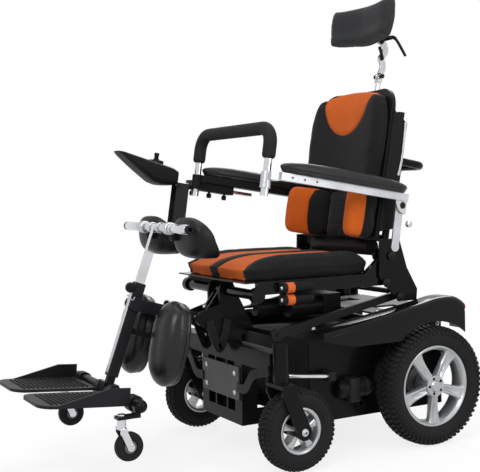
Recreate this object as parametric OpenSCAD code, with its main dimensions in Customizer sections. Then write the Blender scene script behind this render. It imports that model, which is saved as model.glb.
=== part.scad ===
// Standing power wheelchair. It faces -Y, its left side is +X and +Z is up.
// The origin is on the floor, under the middle of its outer box.

/* [Rear wheels] */
// Distance from the middle of the chair back to the rear axle
axle_y = 490; // [470:1:520]
// Distance between the middles of the rear wheels
rear_track = 550; // [530:1:600]
// Radius of the rear tyres
rear_tyre_r = 175; // [145:1:210]
// Width of the rear tyres
rear_tyre_w = 76; // [60:1:84]
// Radius of the rear rims under the tyre
rear_rim_r = 118; // [95:1:130]

/* [Casters] */
// Distance between the caster swivels
caster_track = 580; // [560:1:640]
// Distance from the rear axle forward to the caster swivels
caster_base = 520; // [500:1:560]
// Radius of the caster tyres
caster_r = 112; // [90:1:118]
// Width of the caster tyres
caster_tyre_w = 62; // [50:1:70]
// Radius of the caster rims under the tyre
caster_rim_r = 62; // [50:1:75]
// Distance of the caster axle behind its swivel
caster_trail = 46; // [30:1:50]

/* [Stand-up frame] */
// Place of the knee pivot along Y
knee_y = -50; // [-70:1:-30]
// Height of the knee pivot
knee_z = 470; // [450:1:520]
// Distance from the knee pivot back to the hip pivot
thigh_len = 443; // [400:1:480]
// Rise from the knee pivot to the hip pivot
hip_rise = 86; // [75:1:105]
// Width over the seat rails
seat_w = 430; // [400:1:470]
// Length of the crank that the lifting rod pulls
crank_r = 70; // [60:1:80]

/* [Seat and back] */
// Thickness of the seat cushion at its edge
seat_cushion_t = 62; // [45:1:75]
// Length of the seat cushion
seat_cushion_l = 452; // [400:1:470]
// Backward lean of the backrest in degrees
back_tilt = 10; // [5:1:15]
// Height of the backrest above the hip pivot
back_h = 500; // [430:1:560]
// Width of the backrest
back_w = 376; // [330:1:384]
// Width of the headrest pad
head_w = 316; // [240:1:340]
// Height of the headrest pad
head_h = 134; // [110:1:160]
// Height of the headrest pad's middle above the hip pivot, along the back
head_rise = 712; // [680:1:760]

/* [Armrests and grab bar] */
// Height of the armrest pivots above the hip pivots
arm_pivot_rise = 143; // [125:1:170]
// Distance of the armrest pivots behind the hip pivots
arm_pivot_back = 31; // [20:1:40]
// Upward slope of the armrests towards the front in degrees
arm_tilt = 9; // [0:1:12]
// Length of the arm rails in front of their pivots
arm_len = 421; // [380:1:450]
// Distance between the middles of the arm rails
arm_track = 464; // [460:1:500]
// Distance between the posts of the grab bar
grab_w = 416; // [400:1:420]
// Height of the grab bar's top above the armrest pivots
grab_rise = 158; // [140:1:200]
// Outer radius of the foam grip
foam_r = 19; // [15:1:22]

/* [Legrest] */
// Distance of the legrest column's top in front of the knee pivot
leg_reach = 255; // [240:1:290]
// Height of the legrest column's top above the knee pivot
leg_rise = 35; // [25:1:60]
// Forward lean of the legrest column in degrees
leg_tilt = 20; // [15:1:24]
// Length of the legrest column
column_l = 265; // [230:1:300]
// Length of the footplates
foot_l = 250; // [200:1:280]
// Width of each footplate
foot_w = 176; // [150:1:180]
// Upward slope of the footplates towards the toes in degrees
foot_tilt = 5; // [0:1:8]
// Distance between the foot casters
foot_caster_track = 434; // [430:1:470]
// Radius of the foot casters
foot_caster_r = 37.5; // [30:0.5:42]
// Length of the knee bar
knee_bar_l = 416; // [380:1:430]

/* [Hidden] */
$fn = 48;
// Overrun of every cut
cut = 1;
// Radial clearance of a turning or sliding fit
run_gap = 0.05;
// Gap between neighbours that turn or slide past each other
side_gap = 2;
// Gap where one piece seats on another that it can leave
seat_gap = 0.3;
// How far the eye of a flat bar stands out past the sides of the bar
eye_step = 1;
// How far the eye of a flat bar stands out past the faces of the bar
eye_proud = 0.25;

// Shared pivots, each as [y, z]
hip = [knee_y + thigh_len, knee_z + hip_rise];
knee = [knee_y, knee_z];
link_drop = 116;
link_back = 70;
link_front = [knee[0] + link_back, knee[1] - link_drop];
link_rear = [hip[0] + link_back, hip[1] - link_drop];
arm_pivot = [hip[0] + arm_pivot_back, hip[1] + arm_pivot_rise];
leg_pivot_drop = 75;
leg_pivot_front = 90;
leg_pivot = [knee[0] - leg_pivot_front, knee[1] - leg_pivot_drop];
leg_top = [knee[0] - leg_reach, knee[1] + leg_rise];
axle = [axle_y, rear_tyre_r];
caster_y = axle_y - caster_base;
pin_r = 8;

// Base frame
beam = 50;
rail_x = [80, 120];
rail_z = 95;
rail_h = 35;
barrel_r = 22;
barrel_h = 98;
stem_r = 10;
crown_gap = 8;
crown_t = 10;
shoulder_h = 5;
crown_z = 2 * caster_r + crown_gap;
barrel_z = crown_z + crown_t + shoulder_h;
beam_z = barrel_z + (barrel_h - beam) / 2;
beam_lap = 6;
beam_x = caster_track / 2 - barrel_r + beam_lap;
tower_x = [30, 38];
tower_ear_r = 26;
leg_ear_r = 18;
plate_t = 6;
side_inset = 19;
side_x = seat_w / 2 - side_inset;
plate_front = 118;
plate_rear = 600;
deck_z = 385;
deck_t = 6;
deck_front = 350;
cross_r = 12;
cross_front_y = 325;
cross_drop = 13;
cross_lug = 18;
cross_bar = [cross_front_y, deck_z - cross_drop];
tray_t = 6;
tray_z = rail_z + rail_h + tray_t;
battery_gap = 4;
battery_h = 190;
battery_front = 132;
battery_rear = 418;
tie_eye_r = 8;
tie_plate_t = 8;
tie_w = 40;
tie_y = 290;
tie_eye = [tie_y, rail_z + tie_w];

// Drive units
motor_r = 42;
motor_l = 150;
gearbox_t = 26;
gearbox_r = 46;
axle_r = 12;
axle_reach = 20;
gearbox_x = side_x + plate_t;

// Rear wheel sections
rear_bead_share = 0.7;
rear_rim_w = rear_tyre_w * rear_bead_share;
rear_rim_wall = 9;
hub_r = 33;
hub_cap_r = 17;
hub_proud = 3;
hub_cap_h = 6;
hub_back = 34;
spoke_count = 5;
spoke_w_in = 30;
spoke_w_out = 38;
spoke_t = 16;
spoke_face = 26;
caster_spoke_count = 6;
caster_hub_r = 22;
caster_bead_share = 0.7;
caster_rim_w = caster_tyre_w * caster_bead_share;
caster_rim_wall = 7;
caster_spoke_w = 15;
caster_spoke_t = 10;
fork_t = 7;
fork_gap = 5;
fork_x = caster_tyre_w / 2 + fork_gap;
caster_axle_r = 8;
fork_w = 44;

// Fenders, deck and lamps
fender_gap = 14;
fender_w = 70;
fender_wall = 4;
fender_rise = 83;
fender_h = 115;
fender_front_y = 106;
fender_rear_y = 608;
fender_x = gearbox_x + gearbox_t + side_gap;
fender_top = 2 * rear_tyre_r + fender_rise;
fender_low = fender_top - fender_h;
fender_lug_w = 30;
fender_lug_h = 18;
lamp_r = 15;
lamp_back = 14;
lamp_side = 17;
lamp_drop = 36;
slot_w = 70;
slot_l = 90;
slot_x = 80;
cover_t = 4;
cover_w = 220;
cover_h = 95;
cover_z = 165;

// Lifting actuator
actuator_r = 24;
actuator_l = 250;
lift_rod_r = 7.5;
lift_reach = 110;
lift_rod_in = 60;
slot_gap = 1.5;
eye_t = 12;
eye_w = 30;
eye_h = 44;
crank_pin_r = 5;
crank_t = 8;
crank_eye_r = 13;
crank_lean = 37.5;
crank_pin = [knee[0] - crank_r * sin(crank_lean), knee[1] - crank_r * cos(crank_lean)];
lift_z = knee[1] - crank_r * (1 + cos(crank_lean)) / 2;
lift_front = knee[0] + lift_reach;
lift_rod_l = lift_front + lift_rod_in - crank_pin[0] - eye_w / 2;
lift_bore = lift_rod_in + 2 * crank_r * sin(crank_lean) + lift_rod_r;
eye_slot_w = 2 * (crank_pin_r + slot_gap);
eye_slot_h = crank_r * (1 - cos(crank_lean)) + eye_slot_w;
gear_case_h = 70;
gear_case_l = 60;
lift_motor_r = 28;
lift_motor_l = 110;
lift_motor_x = actuator_r + lift_motor_r + side_gap;

// Seat
rail_w = 20;
seat_rail_h = 36;
seat_rail_rise = 37;
seat_top = knee[1] + seat_rail_rise;
tube_r = 14;
lug_r = 21;
pan_t = 4;
pan_front = 36;
pan_l = 420;
buffer_r = 15;
buffer_l = 100;
buffer_front = 62;
buffer_pitch = 33;
buffer_drop = 4;
buffer_high = seat_top - buffer_drop - buffer_r;
buffer_z = [buffer_high - buffer_pitch, buffer_high];
buffer_cap_l = 12;
buffer_strap_t = 3;
cushion_inset = 15;
seat_cushion_w = seat_w - 2 * cushion_inset;
seat_edge_share = 0.72;
seat_corner_share = 0.18;
seat_channel_x = 45;
seat_side_x = 150;
seat_bolster = 18;
channel_w = 9;
channel_depth = 9;

// Back carrier and its links
carrier_t = 6;
carrier_gap = 2;
carrier_x = seat_w / 2 + carrier_gap;
carrier_w = 100;
carrier_h = 186;
carrier_shares = [[-0.38, 0.27], [-0.42, -0.32], [0.3, -0.73], [0.95, -0.73], [0.98, -0.55], [0.6, -0.2],
    [0.32, 0.27]];
link_t = 12;
link_h = 24;
link_eye_r = 17;
link_x1 = side_x - 2 * side_gap;
upright_t = 6;
upright_w = 26;
upright_ear_r = 14;
arm_pin_r = 6;
upright_x = carrier_x + carrier_t;

// Backrest
cane_x = 176;
cane_r = 11;
cane_back = 8;
cane_h = 440;
back_lug_t = 14;
back_lug_x = 160;
back_lug_r = 20;
shell_t = 14;
shell_gap = 1;
shell_low = 40;
shell_back = cane_back - cane_r - seat_gap;
shell_wrap = 20;
shell_steps = 8;
shell_round = 70;
cheek_t = 4;
cheek_low = 66;
cheek_slope = 16;
cheek_back = 4;
roll_r = 24;
roll_x = 148;
roll_front = 14;
roll_rise = 20;
back_channel_x = 95;
back_edge_share = 0.62;
back_corner_share = 0.22;
cushion_low = 196;
back_cushion_t = 50;
lumbar_low = 44;
lumbar_h = 146;
lumbar_w = 114;
lumbar_t = 100;
lumbar_mid_t = 29;
lumbar_x = 125;
lumbar_round = 18;
lumbar_steps = 4;
push_r = 12;
push_x = 140;
push_reach = 148;
push_z = 292;
push_bend = 32;
stem_block = 34;
stem_z = 430;
stem_block_h = 54;
stem_back = 40;
head_stem_r = 8;
head_stem_l = 150;
head_stem_low = 400;
head_fork_t = 5;
head_eye_r = 13;
head_pin_r = 4;
head_link_l = 112;
head_link_t = 8;
head_link_w = 18;
head_fork_rise = 14;
head_link_lean = 12;
head_low = [stem_back, head_stem_low + head_stem_l + head_fork_rise];
head_high = [stem_back - head_link_lean, head_low[1] + head_link_l];
head_plate_y = -2;
fork_outer = head_link_t / 2 + seat_gap + head_fork_t;
head_corner_share = 0.3;
head_pad_t = 46;
head_wrap = 24;
lever_l = 46;

// Armrests
arm_rail_w = 20;
arm_rail_h = 22;
arm_rail_z = 17;
arm_rear = 18;
arm_pad_w = 60;
arm_pad_t = 38;
arm_pad_l = 445;
arm_pad_front = 6;
arm_corner_share = 0.12;
quarter_r = 40;
quarter_t = 6;
quarter_x = upright_x + upright_t + side_gap;
right_body_w = 44;
hole_r = 3.2;
hole_pitch = 40;
hole_first = 385;
socket_r = 15;
socket_h = 44;
socket_reach = 28;
socket_z = -8;
post_r = 11;
post_low = -30;
foam_low = 80;
grab_bend = 46;

// Joystick
rod_r = 5;
rod_pitch = 22;
rod_offset = 8;
rod_x = arm_track / 2 + rod_offset;
rod_xs = [rod_x - rod_pitch / 2, rod_x + rod_pitch / 2];
rod_z = 2;
rod_rear = 240;
holder_front = 460;
holder_l = 150;
holder_h = 22;
holder_w = 42;
knob_r = 8;
knob_h = 18;
knob_stem_r = 3;
knob_stem_l = 8;
knob_shares = [0.1, 0.5, 0.86];
knob_ys = [for (s = knob_shares) s * holder_l - holder_front];
pod_w = 84;
pod_l = 196;
pod_h = 84;
pod_rear = 514;
pod_z = -12;
pod_shares = [[0, 0.1], [0.14, 0.02], [0.36, 0], [0.98, 0.9], [1, 1], [0.92, 0.99], [0.1, 0.7], [0, 0.6]];
pod_stick_share = 0.33;
stick_z = 38;
pocket_r = 22;
pocket_depth = 22;
ring_r = [12, 18];
ring_h = 8;
trunnion_r = 2.5;
trunnion_l = 5;
stick_r = 4.5;
stick_h = 46;
stick_knob_r = 7.5;
stick_knob_h = 24;
boot_r = 15;
boot_top_r = 8;
boot_low = 9;
boot_h = 12;
strap_w = 44;
strap_t = 3;
strap_l = 150;
strap_gap = 10;
strap_x = rod_pitch / 2 + rod_r + seat_gap;

// Legrest
column_w = 24;
column_d = 30;
column_wall = 3.5;
slide_gap = 0.5;
leg_plate_t = 8;
leg_plate_h = 60;
pad_bar_r = 8;
calf_x = 112;
calf_w = 146;
calf_h = 240;
calf_t = 76;
calf_z = -132;
calf_back = 122;
calf_turn = 8;
calf_taper_share = 0.08;
slider_top = 130;
slider_l = 305;
foot_tube_r = 17;
foot_clamp = 44;
foot_inner = 26;
sleeve_r = 22;
sleeve_l = 30;
foot_t = 8;
guard_h = 42;
guard_t = 5;
guard_shares = [[0, 0], [0, 1], [0.22, 1], [0.62, 0.3], [0.8, 0]];
bracket_w = 28;
bracket_t = 8;
foot_stem_r = 6;
foot_swivel_front = 47;
foot_axis = in_leg(0, -slider_l);
foot_swivel_y = foot_axis[0] - foot_swivel_front;
foot_x = foot_caster_track / 2;
foot_tube_half = foot_x + bracket_w / 2;
foot_wheel_z = 118;
toe_r = 40;
foot_trail = 18;
foot_tyre_w = 26;
foot_fork_t = 3;
foot_fork_gap = 2;
foot_fork_w = 20;
foot_fork_x = foot_tyre_w / 2 + foot_fork_gap;
foot_axle_r = 5;
foot_crown_gap = 9;
foot_crown_t = 4;
foot_crown_z = foot_wheel_z + foot_caster_r + foot_crown_gap;
bracket_z = 190;

// Knee bar and cups
knee_bar_r = 10.5;
knee_bar_z = 161;
knee_axis = in_leg(0, knee_bar_z);
knee_rod_w = column_w - 2 * (column_wall + slide_gap);
knee_rod_d = column_d - 2 * (column_wall + slide_gap);
knee_rod_in = 95;
cup_w = 170;
cup_inner = 34;
cup_h = 124;
cup_low = 94;
cup_depth = 98;
cup_t = 12;
cup_round = 38;
cup_gap = 7;
clamp_w = 26;
clamp_x = 82;
clamp_r = 17;

// Shapes that repeat

// A piece and its mirror image on the other side of the chair
module pair() {
    children();
    mirror([1, 0, 0]) children();
}

// A box between two corners
module box(low, high) translate(low) cube(high - low);

// A round bar along X through a point [y, z]
module bar_x(r, x0, x1, at = [0, 0]) translate([x0, at[0], at[1]]) rotate([0, 90, 0])
    cylinder(r = r, h = x1 - x0);

// A flat plate across X with a [y, z] outline
module plate_x(points, x0, x1) translate([x0, 0, 0]) rotate([90, 0, 90]) linear_extrude(x1 - x0)
    polygon(points);

// A flat bar between two [y, z] points, with round eyes a little wider and thicker than the bar
module strut_x(a, b, w, x0, x1) {
    run = b - a;
    bar_w = w - 2 * eye_step;
    translate([x0 + eye_proud, a[0], a[1]]) rotate([atan2(run[1], run[0]), 0, 0])
        translate([0, 0, -bar_w / 2])
        cube([x1 - x0 - 2 * eye_proud, norm(run), bar_w]);
    bar_x(w / 2, x0, x1, a);
    bar_x(w / 2, x0, x1, b);
}

// Frames of the leaning groups
module back_frame() translate([0, hip[0], hip[1]]) rotate([-back_tilt, 0, 0]) children();
module arm_frame() translate([0, arm_pivot[0], arm_pivot[1]]) rotate([-arm_tilt, 0, 0]) children();
module leg_frame() translate([0, leg_top[0], leg_top[1]]) rotate([-leg_tilt, 0, 0]) children();
function in_leg(y, z) = [leg_top[0] + y * cos(leg_tilt) + z * sin(leg_tilt),
    leg_top[1] - y * sin(leg_tilt) + z * cos(leg_tilt)];

// A tube bent square at two corners: legs down to z = low, top at z = high, legs at x = +half and -half
module hoop(r, half, low, high, bend) {
    pair() translate([half, 0, low]) cylinder(r = r, h = high - bend - low);
    pair() translate([half - bend, 0, high - bend]) rotate([90, 0, 0]) rotate_extrude(angle = 90)
        translate([bend, 0]) circle(r);
    translate([bend - half, 0, high]) rotate([0, 90, 0]) cylinder(r = r, h = 2 * (half - bend));
}

// Cushion grid: u and v run from -1 to 1
function grid(count) = [for (j = [0:count[1]]) for (i = [0:count[0]]) [2 * i / count[0] - 1,
    2 * j / count[1] - 1]];
function plan(p, size, corner, taper) = [
    size[0] / 2 * p[0] * (1 + taper * p[1]) * sqrt(1 - corner * p[1] * p[1] / 2),
    size[1] / 2 * p[1] * sqrt(1 - corner * p[0] * p[0] / 2)];
function dome(p) = sqrt(max(0, (1 - pow(abs(p[0]), 4)) * (1 - pow(abs(p[1]), 4))));
function groove(x, places,
    width) = len(places) == 0 ? 0 : max([for (c = places) exp(-pow((x - c) / width, 2))]);
function rim_of(count) = concat([for (i = [0:count[0]]) i],
    [for (j = [1:count[1]]) j * (count[0] + 1) + count[0]],
    [for (i = [1:count[0]]) (count[1] + 1) * (count[0] + 1) - 1 - i],
        [for (j = [count[1] - 1:-1:1]) j * (count[0] + 1)]);

// A stuffed pad with a crown, drawn-in sides and sewn channels, from z = 0 up to z = size[2]
module cushion(size, edge_share, corner_share, channels = [], channel_w = 1, channel_depth = 0, bolster = 0,
        wrap = 0, taper_share = 0, tuck_share = 0.96, count = [14, 12]) {
    g = grid(count);
    total = len(g);
    edge = size[2] * edge_share;
    top = [for (p = g) let (q = plan(p, size, corner_share, taper_share), d = dome(p))
        [q[0], q[1], edge + (size[2] - edge) * d - channel_depth * d * groove(q[0], channels, channel_w)
            + bolster * d * pow(abs(p[0]), 3) + wrap * p[0] * p[0]]];
    low = [for (p = g) let (q = plan(p, size, corner_share, taper_share)) [q[0] * tuck_share,
        q[1] * tuck_share, wrap * p[0] * p[0]]];
    row = count[0] + 1;
    cells = [for (j = [0:count[1] - 1]) for (i = [0:count[0] - 1]) j * row + i];
    around = rim_of(count);
    laps = len(around);
    faces = concat(
        [for (c = cells) [c, c + row + 1, c + 1]], [for (c = cells) [c, c + row, c + row + 1]],
        [for (c = cells) [total + c, total + c + 1, total + c + row + 1]],
        [for (c = cells) [total + c, total + c + row + 1, total + c + row]],
        [for (k = [0:laps - 1]) let (a = around[k], b = around[(k + 1) % laps]) [a, b, total + b]],
        [for (k = [0:laps - 1]) let (a = around[k], b = around[(k + 1) % laps]) [a, total + b, total + a]]);
    polyhedron(concat(top, low), faces, convexity = 4);
}

// Wheels, turned about X with the outer face towards +X

// A tyre with round shoulders over a plain bore
tyre_shares = [[0.7, 0], [0.88, 0.12], [1, 0.4], [0.97, 0.66], [0.84, 0.86], [0.58, 0.97], [0.3, 1]];
module tyre(bore, r, w) {
    side = [for (s = tyre_shares) [bore + s[1] * (r - bore), s[0] * w / 2]];
    back = [for (i = [len(side) - 1:-1:0]) [side[i][0], -side[i][1]]];
    rotate([0, 90, 0]) rotate_extrude($fn = 96) polygon(concat(side, back));
}

// A rim ring with a hub and spokes
module spoked_rim(r, wall, w, hub, hub_x0, hub_x1, count, w_in, w_out, face, thick) {
    rotate([0, 90, 0]) rotate_extrude($fn = 96) translate([r - wall, -w / 2]) square([wall, w]);
    bar_x(hub, hub_x0, hub_x1);
    for (i = [0:count - 1]) rotate([i * 360 / count, 0, 0]) translate([face - thick, 0, 0])
        rotate([0, 90, 0])
        linear_extrude(thick) polygon([[0, -w_in / 2], [r - wall / 2, -w_out / 2],
            [r - wall / 2, w_out / 2], [0, w_in / 2]]);
}

// Base

tower_outline = [
    [knee[0] + tower_ear_r, knee[1]], [knee[0] - tower_ear_r, knee[1]],
    [knee[0] - tower_ear_r, leg_pivot[1] + 2 * leg_ear_r], [leg_pivot[0], leg_pivot[1] + leg_ear_r],
    [leg_pivot[0] - leg_ear_r, leg_pivot[1]], [leg_pivot[0], leg_pivot[1] - leg_ear_r],
    [caster_y - beam / 2, beam_z + beam], [caster_y - beam / 2, rail_z], [caster_y + beam / 2, rail_z],
    [caster_y + beam / 2, link_front[1] - link_eye_r], [link_front[0] + link_eye_r, link_front[1]]];
side_outline = [[plate_front, rail_z], [plate_rear, rail_z], [plate_rear, deck_z], [cross_front_y, deck_z],
    [plate_front, beam_z + beam]];

module base_frame() color([0.09, 0.09, 0.1]) difference() {
    union() {
        pair() box([rail_x[0], caster_y - beam / 2, rail_z], [rail_x[1], plate_rear, rail_z + rail_h]);
        box([-rail_x[1], caster_y - beam / 2, rail_z], [rail_x[1], caster_y + beam / 2, rail_z + rail_h]);
        pair() box([rail_x[0], caster_y - beam / 2, rail_z],
            [rail_x[1], caster_y + beam / 2, beam_z + beam]);
        box([-beam_x, caster_y - beam / 2, beam_z], [beam_x, caster_y + beam / 2, beam_z + beam]);
        pair() translate([caster_track / 2, caster_y, barrel_z]) cylinder(r = barrel_r, h = barrel_h);
        pair() plate_x(tower_outline, tower_x[0], tower_x[1]);
        pair() bar_x(tower_ear_r, tower_x[0], tower_x[1], knee);
        pair() plate_x(side_outline, side_x, side_x + plate_t);
        pair() bar_x(tie_w / 2, side_x, side_x + plate_t + tie_plate_t, tie_eye);
        box([-side_x - plate_t / 2, plate_front, rail_z],
            [side_x + plate_t / 2, plate_front + rail_h, rail_z + rail_h]);
        box([-side_x - plate_t / 2, plate_rear - rail_h, rail_z],
            [side_x + plate_t / 2, plate_rear, rail_z + rail_h]);
        box([-side_x - plate_t / 2, plate_front, tray_z - tray_t],
            [side_x + plate_t / 2, battery_rear, tray_z]);
        bar_x(cross_r, -side_x - plate_t / 2, side_x + plate_t / 2, cross_bar);
        bar_x(pin_r, -link_x1, link_x1, link_front);
        bar_x(pin_r, -tower_x[1], tower_x[1], leg_pivot);
    }
    pair() translate([caster_track / 2, caster_y, barrel_z - cut])
        cylinder(r = stem_r + run_gap, h = barrel_h + 2 * cut);
    bar_x(tube_r + run_gap, -tower_x[1] - cut, tower_x[1] + cut, knee);
    pair() bar_x(axle_r + side_gap, side_x - cut, side_x + plate_t + cut, axle);
    pair() bar_x(tie_eye_r, side_x - cut, side_x + plate_t + tie_plate_t + cut, tie_eye);
}

module battery_pack() color([0.16, 0.16, 0.18]) pair()
    box([battery_gap, battery_front, tray_z], [side_x - battery_gap, battery_rear, tray_z + battery_h]);

module drive_motors() color([0.2, 0.2, 0.21]) pair() bar_x(motor_r, side_x - motor_l, side_x, axle);

module gearboxes() color([0.45, 0.45, 0.47]) pair() difference() {
    bar_x(gearbox_r, gearbox_x, gearbox_x + gearbox_t, axle);
    bar_x(axle_r + run_gap, gearbox_x + gearbox_t - axle_reach - side_gap, gearbox_x + gearbox_t + cut,
        axle);
}

// Outline of a mudguard as shares of its length and height, from its front foot
fender_shares = [[0.2, 0], [0, 0.2], [0, 0.42], [0.48, 0.72], [0.7, 0.88], [0.8, 0.97], [0.87, 1],
    [0.95, 0.98], [1, 0.86], [1, 0]];
function fender_outline(inset) = [for (s = fender_shares) [
    fender_front_y + inset + s[0] * (fender_rear_y - fender_front_y - 2 * inset),
    fender_low - (inset > 0 ? cut : 0) + s[1] * (fender_top - inset - fender_low + (inset > 0 ? cut : 0))]];

module fenders() color([0.04, 0.04, 0.045]) pair() difference() {
    union() {
        difference() {
            plate_x(fender_outline(0), fender_x, fender_x + fender_w);
            plate_x(fender_outline(fender_wall), fender_x - cut, fender_x + fender_w - fender_wall);
        }
        box([gearbox_x, cross_bar[0], deck_z - fender_lug_h], [fender_x + fender_w - fender_wall / 2,
            cross_bar[0] + fender_lug_w, deck_z - fender_wall]);
        box([gearbox_x, fender_rear_y - 2 * fender_lug_w, deck_z - fender_lug_w], [fender_x + fender_wall,
            fender_rear_y - fender_lug_w, deck_z - fender_wall]);
        box([fender_x, fender_rear_y - 2 * fender_lug_w, deck_z - fender_lug_w], [fender_x + fender_wall,
            fender_rear_y - fender_lug_w, fender_top - fender_wall]);
    }
    bar_x(rear_tyre_r + fender_gap, gearbox_x - cut, fender_x + fender_w + cut, axle);
}

module cover_plates() color([0.42, 0.43, 0.44]) {
    difference() {
        box([-gearbox_x, deck_front, deck_z], [gearbox_x, plate_rear, deck_z + deck_t]);
        pair() box([slot_x, deck_front + slot_w, deck_z - cut],
            [slot_x + slot_w, deck_front + slot_w + slot_l, deck_z + deck_t + cut]);
    }
    box([-cover_w / 2, caster_y - beam / 2 - cover_t, cover_z],
        [cover_w / 2, caster_y - beam / 2, cover_z + cover_h]);
}

module tail_lights() color([0.85, 0.35, 0.08]) pair() difference() {
    translate([fender_x + fender_w - lamp_side, fender_rear_y - lamp_r + lamp_back,
        fender_top - lamp_drop]) sphere(lamp_r);
    box([fender_x, fender_rear_y - 2 * lamp_r, fender_top - 4 * lamp_r - cut],
        [fender_x + fender_w, fender_rear_y, fender_top]);
}

module stand_actuator() color([0.3, 0.3, 0.32]) difference() {
    union() {
        translate([0, lift_front, lift_z]) rotate([-90, 0, 0]) cylinder(r = actuator_r, h = actuator_l);
        box([-actuator_r - side_gap, lift_front + actuator_l - gear_case_l, lift_z - gear_case_h / 2],
            [lift_motor_x + lift_motor_r + side_gap, lift_front + actuator_l + side_gap,
                lift_z + gear_case_h / 2]);
        translate([lift_motor_x, lift_front + actuator_l - gear_case_l - lift_motor_l, lift_z])
            rotate([-90, 0, 0])
            cylinder(r = lift_motor_r, h = lift_motor_l + side_gap);
        box([-actuator_r / 2, cross_bar[0] - cross_lug, cross_bar[1] - cross_lug],
            [actuator_r / 2, cross_bar[0] + cross_lug, lift_z]);
    }
    translate([0, lift_front - cut, lift_z]) rotate([-90, 0, 0])
        cylinder(r = lift_rod_r + run_gap, h = lift_bore);
    bar_x(cross_r + run_gap, -actuator_r, actuator_r, cross_bar);
}

module lift_rod() color([0.75, 0.75, 0.77]) {
    translate([0, crank_pin[0] + eye_w / 2 - cut, lift_z]) rotate([-90, 0, 0])
        cylinder(r = lift_rod_r, h = lift_rod_l);
    difference() {
        translate([0, crank_pin[0], lift_z]) cube([eye_t, eye_w, eye_h], center = true);
        translate([0, crank_pin[0], lift_z]) cube([eye_t + 2 * cut, eye_slot_w, eye_slot_h], center = true);
    }
}

// Rear wheels and casters

module rear_wheel_place() translate([rear_track / 2, axle[0], axle[1]]) children();
module rear_rim() color([0.72, 0.73, 0.75]) rear_wheel_place() {
    spoked_rim(rear_rim_r, rear_rim_wall, rear_rim_w, hub_r, -hub_back, spoke_face + hub_proud, spoke_count,
        spoke_w_in, spoke_w_out,
        spoke_face, spoke_t);
    bar_x(hub_cap_r, spoke_face, spoke_face + hub_proud + hub_cap_h);
    bar_x(axle_r, -rear_track / 2 + gearbox_x + gearbox_t - axle_reach, -hub_back);
}
module rear_tyre() color([0.1, 0.1, 0.1]) rear_wheel_place() tyre(rear_rim_r + run_gap, rear_tyre_r,
    rear_tyre_w);
module rear_rim_left() rear_rim();
module rear_rim_right() mirror([1, 0, 0]) rear_rim();
module rear_tyre_left() rear_tyre();
module rear_tyre_right() mirror([1, 0, 0]) rear_tyre();

module caster_place() translate([caster_track / 2, caster_y, 0]) children();
module caster_fork() color([0.08, 0.08, 0.09]) caster_place() {
    translate([0, 0, crown_z]) cylinder(r = stem_r, h = crown_t + shoulder_h + barrel_h + seat_gap);
    translate([0, 0, crown_z]) cylinder(r = barrel_r - side_gap, h = crown_t + shoulder_h - seat_gap);
    translate([0, 0, barrel_z + barrel_h + seat_gap]) cylinder(r = barrel_r - side_gap, h = shoulder_h);
    box([-fork_x - fork_t, -fork_w / 2, crown_z], [fork_x + fork_t, fork_w / 2, crown_z + crown_t]);
    pair() strut_x([0, crown_z + crown_t - fork_w / 2], [caster_trail, caster_r], fork_w, fork_x,
        fork_x + fork_t);
    bar_x(caster_axle_r, -fork_x - fork_t, fork_x + fork_t, [caster_trail, caster_r]);
}
module caster_wheel_place() caster_place() translate([0, caster_trail, caster_r]) children();
module caster_rim() color([0.6, 0.61, 0.63]) caster_wheel_place() difference() {
    union() {
        spoked_rim(caster_rim_r, caster_rim_wall, caster_rim_w, caster_hub_r, -fork_x + side_gap,
            fork_x - side_gap,
            caster_spoke_count, caster_spoke_w, caster_spoke_w, caster_rim_w / 2 - side_gap,
                caster_spoke_t);
    }
    bar_x(caster_axle_r + run_gap, -fork_x, fork_x);
}
module caster_tyre() color([0.1, 0.1, 0.1]) caster_wheel_place() tyre(caster_rim_r + run_gap, caster_r,
    caster_tyre_w);
module caster_fork_left() caster_fork();
module caster_rim_left() caster_rim();
module caster_tyre_left() caster_tyre();
module caster_fork_right() mirror([1, 0, 0]) caster_fork();
module caster_rim_right() mirror([1, 0, 0]) caster_rim();
module caster_tyre_right() mirror([1, 0, 0]) caster_tyre();

// Seat

module seat_frame() color([0.05, 0.05, 0.055]) difference() {
    union() {
        bar_x(tube_r, -seat_w / 2 + rail_w / 2, seat_w / 2 - rail_w / 2, knee);
        pair() bar_x(lug_r, seat_w / 2 - rail_w, seat_w / 2, knee);
        pair() box([seat_w / 2 - rail_w, knee[0], seat_top - seat_rail_h],
            [seat_w / 2, hip[0] - lug_r, seat_top]);
        pair() strut_x([hip[0] - 4 * lug_r, seat_top - lug_r], hip, 2 * (lug_r - side_gap),
            seat_w / 2 - rail_w + side_gap, seat_w / 2 - eye_proud);
        box([-seat_w / 2 + rail_w / 2, knee[0] - pan_front, seat_top - pan_t],
            [seat_w / 2 - rail_w / 2, knee[0] - pan_front + pan_l, seat_top]);
        pair() strut_x(knee, crank_pin, 2 * crank_eye_r, eye_t / 2 + side_gap,
            eye_t / 2 + side_gap + crank_t);
        bar_x(crank_pin_r, -eye_t / 2 - side_gap - crank_t, eye_t / 2 + side_gap + crank_t, crank_pin);
    }
    bar_x(pin_r + run_gap, -seat_w / 2 - cut, seat_w / 2 + cut, hip);
}

module seat_cushion() color([0.13, 0.13, 0.14])
    translate([0, knee[0] - pan_front - pan_t + seat_cushion_l / 2, seat_top + seat_gap])
        cushion([seat_cushion_w, seat_cushion_l, seat_cushion_t], seat_edge_share, seat_corner_share,
            [-seat_channel_x, seat_channel_x, -seat_side_x, seat_side_x], channel_w, channel_depth,
                seat_bolster,
            count = [22, 16]);

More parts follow.
